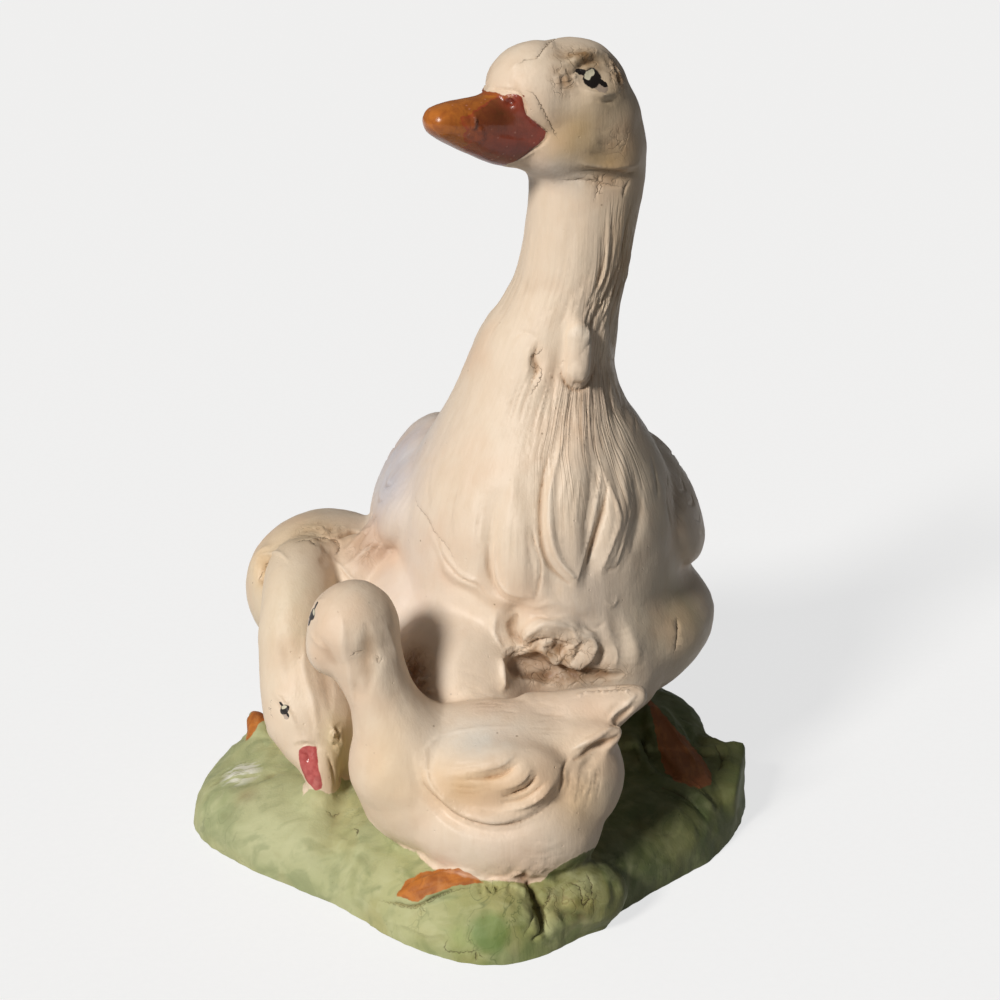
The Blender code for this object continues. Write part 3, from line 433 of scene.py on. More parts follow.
mark("near", ((-78, -8, 106), (-77, -15, 98), (-77, -19, 90), (-73, -26, 79), (-71, -31, 69), (-70, -33, 59)), 3.2, 0.9)
mark("near", ((-70, -8, 104), (-68, -16, 94), (-66, -23, 82), (-64, -28, 72)), 5.5, -1.0)
mark("near", ((-86, -6, 104), (-86, -14, 94), (-84, -22, 84)), 5.0, -0.6)
# The lobe and tuft of clay between this duckling and its mother
comb("near", ((-44, 44, 146), (-50, 38, 138), (-58, 32, 128)), ((-34, 36, 146), (-42, 28, 136), (-52, 22, 124)), 6, 1.0, -0.5)
mark("near", ((-66, 30, 130), (-62, 26, 124), (-56, 22, 119), (-50, 20, 118)), 1.3, 0.9)
mark("near", ((-66, 40, 132), (-62, 45, 133), (-56, 48, 136), (-48, 44, 145)), 2.2, -1.6, (0.3, 0.3))
mark("near", ((-62, 34, 128), (-56, 36, 134), (-47, 36, 143)), 3.2, 1.1)
mark("near", ((-62, 26, 124), (-54, 27, 129), (-44, 30, 136)), 2.6, 0.8)

# The duckling that lies across the front
FRONT_RIM = ((-21, 82), (-20, 78), (-18, 69), (-7, 60), (2, 57), (15, 56), (28, 59), (38, 64), (42, 70))
mark("front", FRONT_RIM, 1.2, -1.0, (0.2, 0.1))
mark("front", [(x * 0.93 + 1, z + 2.6) for x, z in FRONT_RIM[:8]], 1.5, 0.8, (0.2, 0.2))
mark("front", ((-20, 78), (-16, 86), (-5, 90), (10, 92), (23, 92)), 1.3, 0.5)
mark("front", ((0, 76), (14, 78), (24, 84)), 1.2, -1.1)
mark("front", ((-2, 79), (13, 82), (22, 87)), 1.4, 0.7)
mark("front", ((14, 68), (26, 72), (31, 79)), 1.3, -1.3)
mark("front", ((12, 71.4), (24, 76), (28, 82)), 1.4, 0.7)
mark("front", ((13, 62), (27, 65), (38, 72)), 1.3, 0.9)
mark("front", ((12, 65), (26, 68.5), (36, 76)), 1.1, -0.8)
comb("front", ((-14, 82), (0, 84), (12, 87)), ((-12, 66), (4, 66), (16, 70)), 6, 1.0, -0.35)
comb("front", ((44, 76), (44, 68), (42, 56)), ((60, 78), (60, 68), (56, 54)), 8, 1.1, -0.4, 0.4)
comb("front", ((20, 54), (34, 50), (46, 52)), ((14, 44), (30, 38), (46, 42)), 5, 1.1, -0.25)
mark("near", ((75, -66, 100), (71, -68, 97), (66, -72, 94), (62, -75, 92)), 2.2, 1.5, (0.4, 0.3))
mark("near", ((73, -70, 95), (69, -73, 92), (64, -76, 90)), 2.8, -1.4, (0.5, 0.4))
mark("near", ((74, -64, 103), (62, -62, 102), (50, -60, 99)), 3.2, -0.8)
mark("near", ((64, -80, 91), (58, -83, 88.4), (52, -85, 86), (46, -86, 83)), 2.2, 1.7, (0.5, 0.3))
mark("near", ((66, -80, 86.5), (60, -83, 84), (54, -86, 81.6), (47, -88, 79)), 3.4, -2.0, (0.6, 0.4))
mark("near", ((62, -77, 92), (65, -77, 90), (67, -78, 89)), 1.2, -1.2)
comb("front", ((20, 98), (34, 96), (46, 96)), ((26, 90), (38, 88), (50, 88)), 5, 1.2, -0.3)
mark("near", ((45, -87, 81), (42, -93, 77), (42, -95, 71), (40, -95, 65)), 1.8, -1.1)
mark("near", ((48, -88, 76), (47, -92, 70), (46, -93, 60)), 4.0, 0.6)
comb("near", ((-2, -60, 103), (10, -62, 101), (20, -66, 96)), ((2, -72, 98), (14, -74, 97), (24, -76, 93)), 7, 1.0, -0.4)
crack(((-50, -80, 126), (-47, -80, 127), (-44, -80, 127)), 0.8, 0.6, 0.4)
crack(((-39, -78, 126), (-38, -79, 122), (-36, -77, 124)), 1.0, 0.7, 0.2)
# Flat planes left by the thumb on its head and neck, parted by a soft edge
mark("near", ((-54, -75, 143), (-53, -79, 136), (-53, -80, 128), (-51, -80, 118), (-50, -78, 107), (-48, -78, 95)), 4.0, 0.9)
mark("near", ((-44, -74, 140), (-43, -78, 130), (-43, -79, 118), (-42, -78, 106)), 6.5, -1.0)
mark("near", ((-62, -74, 132), (-60, -78, 124), (-58, -78, 116)), 5.5, -0.7)
mark("near", ((-38, -70, 136), (-34, -70, 128), (-32, -72, 118)), 3.0, 0.5)
mark("near", ((-67, -66, 131), (-63, -71, 128), (-58, -74, 127)), 1.4, 0.5)
mark("near", ((-68, -62, 142), (-65, -62, 144), (-62, -66, 144)), 1.2, 0.5)
for grain in range(16):
    share = grain / 15
    speck = np.array((-30, -33, 104)) * (1 - share) + np.array((-17, -51, 95)) * share
    speck += np.array([dice.uniform(-2.5, 2.5) for axis in range(3)])
    mark("near", (speck, speck + 0.4), dice.uniform(1.2, 2.0), dice.uniform(0.7, 1.5), (1, 1))
for grain in range(9):
    speck = np.array((50 + 2.6 * grain, -64 + dice.uniform(-2, 2), 99 + dice.uniform(-1, 1)))
    mark("near", (speck, speck + 0.4), dice.uniform(1.1, 1.8), dice.uniform(0.6, 1.3), (1, 1))

# The mound
# The ground was pressed on with the fingers and cut with a knife, so it has flat facets with torn edges.
for stroke in range(110):
    angle, far = dice.uniform(0, 2 * math.pi), dice.uniform(55, 134)
    x, y, heading = math.cos(angle) * far, math.sin(angle) * far * 0.93, dice.uniform(0, 6.3)
    reach, bend = dice.uniform(5, 13), dice.uniform(-0.7, 0.7)
    path = [(x + t * reach * math.cos(heading + bend * t), y + t * reach * math.sin(heading + bend * t)) for t in (-1, 0, 1)]
    width = dice.uniform(2.0, 7.0)
    mark("ground", path, width, dice.choice((-0.6, -0.4, 0.4, 0.6)), (0.3, 0.3), 0.55 if width > 2.5 else 0.1)
mark("near", ((27, -103, 26), (29, -105, 21), (32, -110, 16), (32, -114, 11), (28, -120, 9)), 2.2, -2.6, (0.7, 0.4))
crack(((53, -97, 28), (55, -101, 24), (54, -105, 20)))
crack(((37, -103, 24), (35, -107, 20), (33, -111, 16), (37, -115, 10)))
crack(((43, -100, 25), (49, -102, 24), (51, -107, 18), (55, -105, 20), (56, -107, 12)))
crack(((35, -103, 24), (37, -104, 22), (34, -109, 19), (28, -110, 18), (27, -119, 15), (24, -123, 11)), 1.2, 1.0, 0.6)
mark("near", ((48, -101, 25), (49, -103, 24), (51, -102, 25), (52, -101, 25)), 0.8, -0.7)
mark("near", ((50, -108, 12), (51, -110, 11)), 4.0, -1.6, (1, 1))
crack(((6, -126, 8), (0, -124, 5), (-9, -121, 4), (-8, -121, 10)), 0.8, 0.5, 0.5)
crack(((4, -121, 17), (1, -122, 12), (3, -124, 8)), 0.8, 0.5, 0.25)
crack(((4, -127, 2), (4, -126, 6)))
crack(((-66, -44, 30), (-63, -45, 28), (-60, -42, 28)))
crack(((-55, -56, 27), (-50, -58, 27), (-51, -62, 26)))
mark("near", ((-39, -101, 6), (-27, -110, 9), (-16, -117, 9), (-6, -121, 14)), 1.6, 0.9)
mark("near", ((8, -104, 28), (14, -104, 28), (20, -106, 27), (26, -107, 25)), 1.6, 1.0)
for stroke in range(14):
    x = dice.uniform(6, 30)
    tear = ((x, -103, 27), (x + dice.uniform(-2, 2), -107, 24), (x + dice.uniform(-3, 3), -111, 20))
    mark("near", tear, 0.9, dice.choice((-0.8, 0.7)))
mark("ground", ((-119, -1), (-112, -3), (-104, 1)), 3.0, 0.8)
crack(((121, 27, 28), (124, 14, 27), (121, 3, 25)), 1.4, 1.1)
crack(((104, 38, 38), (111, 40, 34)))
mark("near", ((126, 30, 27), (128, 16, 26), (127, 2, 24)), 1.6, 0.8)

# The orange feet
# Only the toes of three feet show, spread flat on the ground with a raised middle toe.
MOTHER_FOOT = ((90, 37), (93, 27), (98, 15), (104, 2), (107, -6))
mark("ground", MOTHER_FOOT, 9.0, 1.0, (0.2, 1.0), 0.75)
mark("ground", ((92, 33), (101, 19), (107, 6), (111, -8)), 1.2, 1.1)
mark("ground", ((91, 24), (96, 8), (100, -8)), 1.0, -0.6)
mark("ground", ((84, 30), (85, 18), (87, 7), (88, -8)), 1.4, -1.2)
mark("ground", ((80, 28), (81, 12), (83, -6)), 2.4, 0.9)
comb("ground", ((78, 10), (80, 0), (82, -8)), ((88, 4), (90, -3), (92, -9)), 5, 0.9, -0.6)
mark("ground", ((87, -15), (96, -12), (105, -15), (114, -19)), 1.8, 1.3, (0.7, 0.7))
mark("ground", ((86, -19), (97, -22), (106, -26), (113, -31)), 1.2, -1.2)
mark("ground", ((88, -24), (98, -27), (106, -31)), 1.1, 0.7)
FRONT_FOOT = ((-31, -102, 18), (-22, -102, 23), (-11, -102, 28), (0, -104, 31), (6, -104, 29))
mark("near", FRONT_FOOT, 4.6, 1.0, (0.3, 0.6), 0.7)
crack(((-42, -97, 14), (-34, -103, 16), (-23, -109, 18), (-7, -109, 26), (4, -107, 27)), 1.3, 1.5, 0.45)
crack(((-21, -110, 18), (-20, -111, 15)))
mark("near", ((-28, -103, 19), (-14, -104, 25), (2, -105, 30)), 1.0, -0.6)
mark("near", ((-26, -99, 22), (-14, -99, 28), (-2, -102, 32)), 0.9, -0.4)
SMALL_FOOT = ((-113, 28, 33), (-111, 34, 34), (-108, 42, 36), (-105, 50, 38))

# The hand-worked surface
# Clay keeps the drag of the tools: a slow unevenness everywhere, rougher on the ground.
# Here and there it is crumpled or torn: centre, half lengths, height and size of the crumples.
CRUMPLES = (
    ((42, -36, 109), (16, 10, 10), 2.2, 12.0), ((42, -37, 107), (18, 10, 10), 0.4, 5.5),
    ((42, -108, 20), (20, 12, 11), 1.4, 9.0), ((-72, 42, 133), (12, 12, 6), 0.7, 6.0),
    ((-62, -31, 62), (3, 5, 9), 0.8, 4.0), ((26, -104, 30), (12, 7, 7), 1.0, 5.5),
    ((-98, 36, 119), (9, 10, 7), 1.1, 5.0), ((116, 22, 30), (10, 14, 8), 1.4, 7.0),
    ((118, 38, 24), (12, 12, 10), 1.6, 9.0), ((45, 6, 366), (16, 12, 6), 0.3, 6.0),
    (face(1, ((15, 20, 12),))[0], (6, 6, 6), 0.6, 3.6), (face(-1, ((15, 20, 12),))[0], (6, 6, 6), 0.6, 3.6),
    (face(1, ((-12, 21, 14),))[0], (5, 6, 9), 0.7, 3.6), (face(-1, ((-12, 21, 14),))[0], (5, 6, 9), 0.7, 3.6),
    (face(1, ((3, 20, 22),))[0], (11, 7, 4), 0.5, 4.0), (face(-1, ((3, 20, 22),))[0], (11, 7, 4), 0.5, 4.0),
)
for middle, half, lift, size in CRUMPLES:
    gap = (places - np.array(middle, float)) / np.array(half, float)
    share = np.exp(-(gap * gap).sum(axis=1))
    for i in np.flatnonzero(share > 0.06):
        rise[i] += lift * share[i] * (1 - 3.4 * abs(noise.noise(Vector(places[i]) / size)))
for i in range(count):
    place = Vector(places[i])
    slow = noise.noise(place / 16)
    quick = noise.noise(place / 5)
    if ground[i] > 0:
        rise[i] += 0.6 * slow + 0.45 * quick
    else:
        rise[i] += 0.55 * slow + 0.16 * quick
relief = places + normals * rise[:, None]
low_edge = np.array(cad_low) / MILLIMETRE + 0.1
high_edge = np.array(cad_high) / MILLIMETRE - 0.1
relief[:, 2] = np.minimum(relief[:, 2], high_edge[2])
relief[:, :2] = np.clip(relief[:, :2], low_edge[:2], high_edge[:2])
cast.data.vertices.foreach_set("co", (relief * MILLIMETRE).reshape(-1))
cast.data.update()

SKIN_TRIANGLES = 192000
triangles = sum(len(p.vertices) - 2 for p in cast.data.polygons)
thin = cast.modifiers.new("thin", "DECIMATE")
thin.ratio = SKIN_TRIANGLES / triangles
settle(cast)
bm = bmesh.new()
bm.from_mesh(cast.data)
cut = bmesh.ops.bisect_plane(
    bm, geom=bm.verts[:] + bm.edges[:] + bm.faces[:], plane_co=(0, 0, 0), plane_no=(0, 0, 1), clear_inner=True
)
rim_edges = [e for e in cut["geom_cut"] if isinstance(e, bmesh.types.BMEdge)]
bmesh.ops.contextual_create(bm, geom=rim_edges)
bmesh.ops.recalc_face_normals(bm, faces=bm.faces)
bm.to_mesh(cast.data)
bm.free()
cast.data.shade_smooth()
cast.data.set_sharp_from_angle(angle=math.radians(70))

# Where each paint lies
# The paint was brushed on freely over a cream ground: green below, orange on bill and feet.
# Every distance below is in millimetres, positive inside the painted patch.
places, normals = read_skin(cast.data)
count = len(places)


def store(name, values):
    """Keeps one number for each point of the skin."""
    layer = cast.data.attributes.new(name, "FLOAT", "POINT")
    layer.data.foreach_set("value", np.asarray(values, np.float32))


def path_inside(points, widths):
    """How far inside a band around a path a place lies, in millimetres."""
    inside = np.full(count, -50.0)
    rows = spline([(*p, w) for p, w in zip(points, widths)])
    for a, b in zip(rows, rows[1:]):
        along = b[:3] - a[:3]
        share = np.clip((places - a[:3]) @ along / max(along @ along, 1e-9), 0, 1)
        gap = np.linalg.norm(places - a[:3] - share[:, None] * along, axis=1)
        inside = np.maximum(inside, a[3] + (b[3] - a[3]) * share - gap)
    return inside


store("ground", ground_share(places))

offset = places - HEAD_CENTRE
ahead, aside, above = offset @ HEAD_FORWARD, np.abs(offset @ HEAD_LEFT), offset[:, 2]
edge_low = np.interp(above, (-25, -23, -19, -13, -10, -7, -2, 2, 5), (35, 31, 27, 22.6, 22.2, 26, 31.5, 32.3, 33))
edge_top = np.interp(aside, (0, 3, 9, 14, 16), (42, 41, 38.6, 33.8, 32.6)) + 2.0 * np.clip(above - 6.5, 0, 3)
bill = ahead - np.where(above > 5, edge_top, edge_low)
bill = bill - 3.0 * np.clip(above - np.interp(aside, (9, 14), (8.0, 6.6)), 0, 3)
bill = np.where((places[:, 2] > 310) & (above < 9.4), bill, -50.0)
store("bill", bill)
brick_edge = np.interp(above, (-25, -23, -17, -12, -7, -2, 1, 3, 5, 8), (42, 47, 55, 59, 60, 58, 52, 45, 37, 34))
store("brick", brick_edge - ahead)


def patch_inside(outline, middle, reach):
    """How far a place lies inside an outline drawn as seen from the front and twenty degrees above."""
    seen = np.column_stack((places[:, 0], places @ SLANT))
    best, inside = np.full(count, 1e6), np.zeros(count, bool)
    for (x0, y0), (x1, y1) in zip(outline, outline[1:] + outline[:1]):
        way = np.array((x1 - x0, y1 - y0), float)
        gap = seen - np.array((x0, y0))
        share = np.clip(gap @ way / (way @ way), 0, 1)
        best = np.minimum(best, np.linalg.norm(gap - share[:, None] * way, axis=1))
        crosses = (seen[:, 1] < y0) != (seen[:, 1] < y1)
        rise_share = (seen[:, 1] - y0) / (y1 - y0 if y1 != y0 else 1e-9)
        inside ^= crosses & (seen[:, 0] < x0 + rise_share * (x1 - x0))
    near = np.linalg.norm(places - np.array(middle, float), axis=1) < reach
    return np.where(near, np.where(inside, best, -best), -50.0)


SLANT = np.array((0.0, 0.342, 0.940))
ROSE = ((-79.6, 40.9), (-76.5, 43.3), (-71, 42.8), (-70, 32.6), (-67.9, 23.6), (-71.6, 22.0), (-76.6, 26.6), (-79, 33.5))
store("rose", patch_inside(ROSE, (-73, -37, 48), 17))
BIG_FOOT = ((87, 61), (94, 53), (103, 43), (112, 33.6), (118, 24), (116, 20.5), (111, 19.4), (98, 23.4), (94, 26.5), (92, 37), (90, 51))
NEAR_FOOT = ((-31, -16.6), (-27, -10.4), (-21, -7.6), (-10, -5), (-3, -3.6), (2, -6), (7, -9.6), (2, -10.2), (-5, -10.8), (-12, -13.2),
             (-18, -15.4), (-21.4, -18.4))
mother_foot = patch_inside(BIG_FOOT, (101, 12, 35), 44)
front_foot = patch_inside(NEAR_FOOT, (-12, -103, 26), 26)
small_foot = path_inside(SMALL_FOOT, (3, 5, 6, 6))
store("foot", np.maximum(np.maximum(mother_foot, front_foot), small_foot))

# Painted eyes, told by the middle, the way towards the back corner and the outward way
EYES = [
    ((-68.5, -63, 137.5), (0.30, 0.05, -0.95), (-0.91, -0.18, 0.36), 4.6),
    ((-31.5, -52, 137), (0.30, 0.05, -0.95), (0.86, 0.3, 0.35), 4.6),
    ((-86.5, -27.5, 74), (0.54, -0.54, -0.65), (-0.57, -0.57, 0.59), 4.4),
]
for side in (1, -1):
    middle = face(side, ((2.4, 22, 12),))[0]
    back = -0.838 * HEAD_FORWARD + 0.288 * side * HEAD_LEFT + np.array((0, 0, -0.46))
    out = 0.10 * HEAD_FORWARD + 0.92 * side * HEAD_LEFT + np.array((0, 0, 0.36))
    EYES.append((middle, back, out, 8.2))
eye = np.full((count, 3), 9.0)
for middle, back, out, half in EYES:
    back = np.array(back) / np.linalg.norm(back)
    out = np.array(out) / np.linalg.norm(out)
    up = np.cross(out, back)
    up = up * (1 if up[2] > 0 else -1)
    gap = places - np.array(middle)
    near = np.linalg.norm(gap, axis=1) < 2.4 * half
    eye[near] = np.column_stack((gap @ back, gap @ up, gap @ out))[near] / half
layer = cast.data.attributes.new("eye", "FLOAT_VECTOR", "POINT")
layer.data.foreach_set("vector", eye.astype(np.float32).reshape(-1))

# Painted shade with dust in the hollows: a place is hollow when near skin stands over it, and its paint is darkened the
# more it is shut in.
HOLLOW_RAYS = 18
HOLLOW_REACH = 0.030
tree = skin_tree(cast.data)
ways = []
for ray in range(HOLLOW_RAYS):
    tilt = math.acos(1 - (ray + 0.5) / HOLLOW_RAYS * 0.9)
    turn = ray * 2.399963
    ways.append((math.sin(tilt) * math.cos(turn), math.sin(tilt) * math.sin(turn), math.cos(tilt)))
shade_and_dust = np.zeros(count)
for i in range(count):
    normal = Vector(normals[i])
    start = Vector(places[i]) * MILLIMETRE + normal * 0.0004
    across = normal.orthogonal().normalized()
    third = normal.cross(across)
    shut = 0.0
    for x, y, z in ways:
        distance = tree.ray_cast(start, across * x + third * y + normal * z, HOLLOW_REACH)[3]
        if distance is not None:
            shut += 1 - distance / HOLLOW_REACH
    shade_and_dust[i] = shut / HOLLOW_RAYS
store("shade_and_dust", shade_and_dust)
toward = np.array([
    (Vector(places[i]) * MILLIMETRE - smooth_tree.find_nearest(Vector(places[i]) * MILLIMETRE)[0]).dot(Vector(normals[i]))
    for i in range(count)
])
store("relief", toward / MILLIMETRE)


# The comb's hair-fine lines follow the fall of the feathers: round the neck, then fanned over the breast.
# Kept for each point: degrees round the neck, height, and how deeply the comb bit there.
heights = places[:, 2]
turn = np.degrees(np.arctan2(places[:, 0] - np.interp(heights, AXIS_HEIGHTS, AXIS_PLACES), AXIS_DEPTH - places[:, 1]))
first = np.interp(heights, (140, 200, 240, 300), (-8, -8, 2, 18))
last = np.interp(heights, (140, 200, 240, 300), (64, 66, 86, 104))
bite = np.clip((turn - first) / 16, 0, 1) * np.clip((last - turn) / 16, 0, 1)
bite *= np.clip((heights - 160) / 45, 0, 1) * np.clip((308 - heights) / 8, 0, 1)
from_drop = np.linalg.norm((places - np.array((50, 0, 234))) / np.array((8, 14, 13)), axis=1)
bite *= np.clip(from_drop * 2 - 1.6, 0, 1)
bite = np.where((heights > 138) & (places[:, 1] < 60), 0.08 * np.clip((305 - heights) / 10, 0, 1) + 0.92 * bite, 0.0)
layer = cast.data.attributes.new("lay", "FLOAT_VECTOR", "POINT")
layer.data.foreach_set("vector", np.column_stack((turn * 0.55, heights, bite)).astype(np.float32).reshape(-1))

# Worn and dusty places and places of painted shade, each told by its middle and half lengths
WORN_AND_SHADED = [
    # The first three are painted shade with dust: the crumpled hollow, under the breast's hem, and the crevice beside
    # the front duckling's neck.
    ((38, -35, 106), (20, 12, 11), 0.9), ((48, -34, 95), (26, 10, 6), 0.9), ((-26, -43, 100), (8, 13, 12), 1.0), ((-74, 46, 134), (16, 12, 5), 0.45),
    ((-98, 36, 119), (9, 10, 7), 0.5), ((-62, -31, 62), (4, 5, 10), 0.4), ((24, -104, 32), (12, 6, 6), 0.35),
    ((44, -106, 20), (18, 10, 10), 0.5), ((8, -66, 99), (12, 10, 6), 0.35), ((62, 9, 316), (14, 12, 4), 0.5),
    ((45, 10, 372), (14, 12, 5), 0.3), ((-50, 32, 132), (12, 12, 10), 0.4), ((70, -60, 100), (10, 8, 6), 0.5),
]
for side in (1, -1):
    WORN_AND_SHADED.append((face(side, ((15, 20, 12),))[0], (7, 7, 7), 0.8))
    WORN_AND_SHADED.append((face(side, ((-13, 21, 14),))[0], (6, 7, 10), 0.9))
    WORN_AND_SHADED.append((face(side, ((4, 20, 21),))[0], (13, 8, 6), 1.0))
    WORN_AND_SHADED.append((face(side, ((-12, 26, -16),))[0], (16, 8, 9), 0.45))
worn_and_shaded = np.zeros(count)
for middle, half, share in WORN_AND_SHADED:
    gap = (places - np.array(middle, float)) / np.array(half, float)
    worn_and_shaded = np.maximum(worn_and_shaded, share * np.exp(-(gap * gap).sum(axis=1)))
store("worn_and_shaded", worn_and_shaded)

# Hairline cracks: the signed gap to the nearest one, the plain gap, and how open it is there
split = np.tile((9.0, 9.0, 0.0), (count, 1))
for line, dark in crack_lines:
    middle = np.mean(line, axis=0)
    reach = max(np.linalg.norm(place - middle) for place in line) + 5
    near = np.flatnonzero(np.linalg.norm(places - middle, axis=1) < reach)
    for step, (a, b) in enumerate(zip(line, line[1:])):
        along = b - a
        share = np.clip((places[near] - a) @ along / max(along @ along, 1e-9), 0, 1)
        gap = places[near] - a - share[:, None] * along
        far = np.linalg.norm(gap, axis=1)
        side = np.sign(np.einsum("ij,ij->i", np.cross(normals[near], along), gap))
        closer = far < split[near, 1]
        travel = (step + share) / (len(line) - 1)
        row = np.column_stack((far * side, far, dark * np.clip(4 * np.minimum(travel, 1 - travel), 0, 1)))
        split[near[closer]] = row[closer]
layer = cast.data.attributes.new("split", "FLOAT_VECTOR", "POINT")
layer.data.foreach_set("vector", split.astype(np.float32).reshape(-1))


def linear(hex_colour):
    """A screen colour such as E8D5BE as linear red, green and blue."""
    values = [int(hex_colour[i:i + 2], 16) / 255 for i in (0, 2, 4)]
    return [v / 12.92 if v < 0.04045 else ((v + 0.055) / 1.055)**2.4 for v in values]


def washes(name, base, patches):
    """Keeps a colour for each point: a base with soft patches of (centre, radius, colour, strength)."""
    colour = np.tile(np.array(linear(base)), (count, 1))
    for centre, radius, hue, strength in patches:
        gap = (places - np.array(centre, float)) / np.array(radius, float)
        share = (strength * np.exp(-(gap * gap).sum(axis=1)))[:, None]
        colour = colour * (1 - share) + np.array(linear(hue)) * share
    layer = cast.data.attributes.new(name, "FLOAT_COLOR", "POINT")
    layer.data.foreach_set("color", np.column_stack((colour, np.ones(count))).astype(np.float32).reshape(-1))


washes("cream", "E7D3BC", (
    # painted light: a cool skylight tint on the mother's wing at the left
    ((-42, 52, 172), (34, 50, 34), "C6C9D8", 1.0),
    ((-30, 0, 118), (34, 34, 40), "E2D2C8", 0.6),
    ((-25, -5, 180), (28, 30, 24), "E6CDAE", 0.5),
    ((-52, 30, 134), (17, 18, 15), "BC9079", 0.8),
    ((8, -94, 72), (26, 14, 15), "DDAE70", 0.95),
    ((-34, -82, 72), (12, 20, 26), "E6C594", 0.55),
    ((6, -88, 88), (20, 14, 8), "D9D6CE", 0.8),
    ((50, -90, 62), (14, 16, 20), "DABA8E", 0.8),
    ((10, -66, 98), (12, 10, 7), "DDB79C", 0.35),
    ((16, -98, 46), (24, 14, 16), "F0E0D0", 0.7),
    ((48, -70, 102), (22, 12, 10), "E6C6AE", 0.6),
    ((-102, 38, 118), (9, 14, 9), "D9A561", 0.8),
    ((-90, 40, 128), (16, 18, 12), "EBC9A0", 0.5),
    ((-78, -2, 104), (16, 26, 30), "D3C6A6", 0.65),
    ((-60, -30, 46), (7, 12, 18), "DDB882", 0.6),
    ((-52, -62, 132), (16, 20, 16), "EAD2B4", 0.6),
    ((54, 5, 368), (15, 12, 6), "8F774C", 0.8),
    ((46, -1, 336), (15, 14, 13), "B0905C", 0.85),
    ((64, 6, 342), (15, 18, 22), "C4A673", 0.6),
    ((60, 4, 324), (20, 18, 8), "A98A58", 0.85),
    ((74, 16, 288), (13, 22, 34), "C2A377", 0.6),
    # painted shadow of the bill on the throat under the chin
    ((34, 2, 318), (18, 14, 7), "C4C4C6", 0.7),
    ((10, 5, 366), (20, 20, 16), "EADBC6", 0.6),
    ((100, 0, 112), (18, 22, 18), "B8A568", 0.7),
    # painted shade on the right side of the breast
    ((92, 14, 165), (22, 34, 55), "BDB4A0", 0.65),
    ((82, -16, 114), (20, 20, 18), "BDB09A", 0.6),
    # painted shadow of the breast's hem over the front duckling's back
    ((48, -34, 95), (26, 10, 6), "8C7660", 0.6),
    ((102, 30, 165), (18, 34, 34), "BFA58C", 0.6),
    # painted shade on the lower breast, right of the middle
    ((52, -30, 132), (26, 14, 24), "BFB2A6", 0.55),
    ((-84, 60, 104), (46, 50, 40), "D3C19C", 0.6),
    ((-72, 44, 136), (18, 16, 6), "C3AB82", 0.6),
    # painted shade with dust in the crevice beside the front duckling's neck
    ((-26, -43, 100), (8, 13, 12), "7A4E22", 0.9),
    ((-60, -74, 126), (12, 14, 14), "E9D3BE", 0.5),
    ((-62, -30, 60), (7, 8, 14), "CDBB8E", 0.7),
))
washes("green", "99A06A", (
    ((-100, -40, 20), (50, 50, 40), "B3B588", 0.85),
    ((-124, -28, 20), (11, 34, 14), "7B8E52", 0.85),
    ((-92, -62, 20), (18, 12, 10), "C4C296", 0.75),
    ((-30, -112, 12), (28, 10, 9), "BABD8A", 0.8),
    ((-96, -66, 3), (34, 22, 5), "87955C", 0.7),
    ((-54, -58, 27), (9, 6, 6), "6C8046", 0.75),
    ((-92, 0, 32), (16, 12, 8), "8E9A60", 0.7),
    ((-40, -100, 20), (44, 30, 20), "B3B27C", 0.85),
    ((13, -122, 16), (13, 10, 9), "5F7A3A", 1.0),
    ((0, -126, 3), (34, 9, 4), "78884D", 0.8),
    ((52, -102, 20), (24, 20, 14), "8E874A", 0.9),
    # painted shade on the ground at the right, where the birds' shadow falls
    ((100, -50, 14), (42, 42, 30), "5E683C", 0.85),
    ((100, 30, 34), (30, 40, 20), "78844F", 0.8),
    ((130, 20, 26), (10, 20, 12), "A09F58", 0.5),
    ((0, 100, 20), (140, 40, 40), "858E57", 0.5),
    ((-64, -42, 34), (12, 10, 8), "B9AD78", 0.8),
    # painted shadows: under the front duckling's belly on the rock, on the ground at the right, and behind its tail
    ((50, -90, 34), (20, 14, 8), "4F4630", 0.95),
    ((98, -38, 20), (34, 30, 16), "4E5832", 0.9),
    ((68, -74, 22), (20, 20, 14), "474E2E", 0.85),
    ((-106, -22, 26), (5, 5, 5), "7C5A34", 0.8),
    ((50, -109, 10), (5, 4, 5), "4E3B2E", 0.9),
    ((-2, -122, 10), (6, 6, 6), "96A965", 0.8),
))
# The bill is orange at the tip and on top, dark olive brown in the middle and red at its edge
bill_patches = [
    (face(1, ((64, 0, -3),))[0], (15, 15, 13), "CC742C", 1.0),
    (face(1, ((50, 0, 9),))[0], (18, 15, 7), "7E5228", 0.95),
    (face(1, ((41, 0, 9),))[0], (9, 12, 6), "7A4D26", 0.85),
    (face(1, ((58, 0, -16),))[0], (8, 12, 6), "B4622E", 0.7),
]
for side in (1, -1):
    bill_patches.append((face(side, ((42, 12, -2),))[0], (9, 9, 6.5), "563519", 0.9))
    bill_patches.append((face(side, ((50, 10, -1),))[0], (5, 5, 6), "7C4420", 0.6))
    bill_patches.append((face(side, ((37, 13, 4),))[0], (4.5, 4.5, 4), "92382A", 0.9))
washes("horn", "8E4332", bill_patches)

# Brushed paint
# Household satin paint brushed over the plaster. Painted shade darkens its hollows and grooves, and a painted highlight
# lightens its raised ridges.
paint = bpy.data.materials.new("satin_paint_brushed_on_plaster")
paint.use_nodes = True
net = paint.node_tree
shader = net.nodes["Principled BSDF"]


def add(kind, links=(), out=0, **settings):
    """Adds a node with settings, joins what is given to its inputs, and gives one of its outputs."""
    node = net.nodes.new(kind)
    for key, value in settings.items():
        setattr(node, key, value)
    for socket, value in dict(links).items():
        target = node.inputs[socket]
        if isinstance(value, bpy.types.NodeSocket):
            net.links.new(value, target)
        else:
            target.default_value = value
    return node.outputs[out]


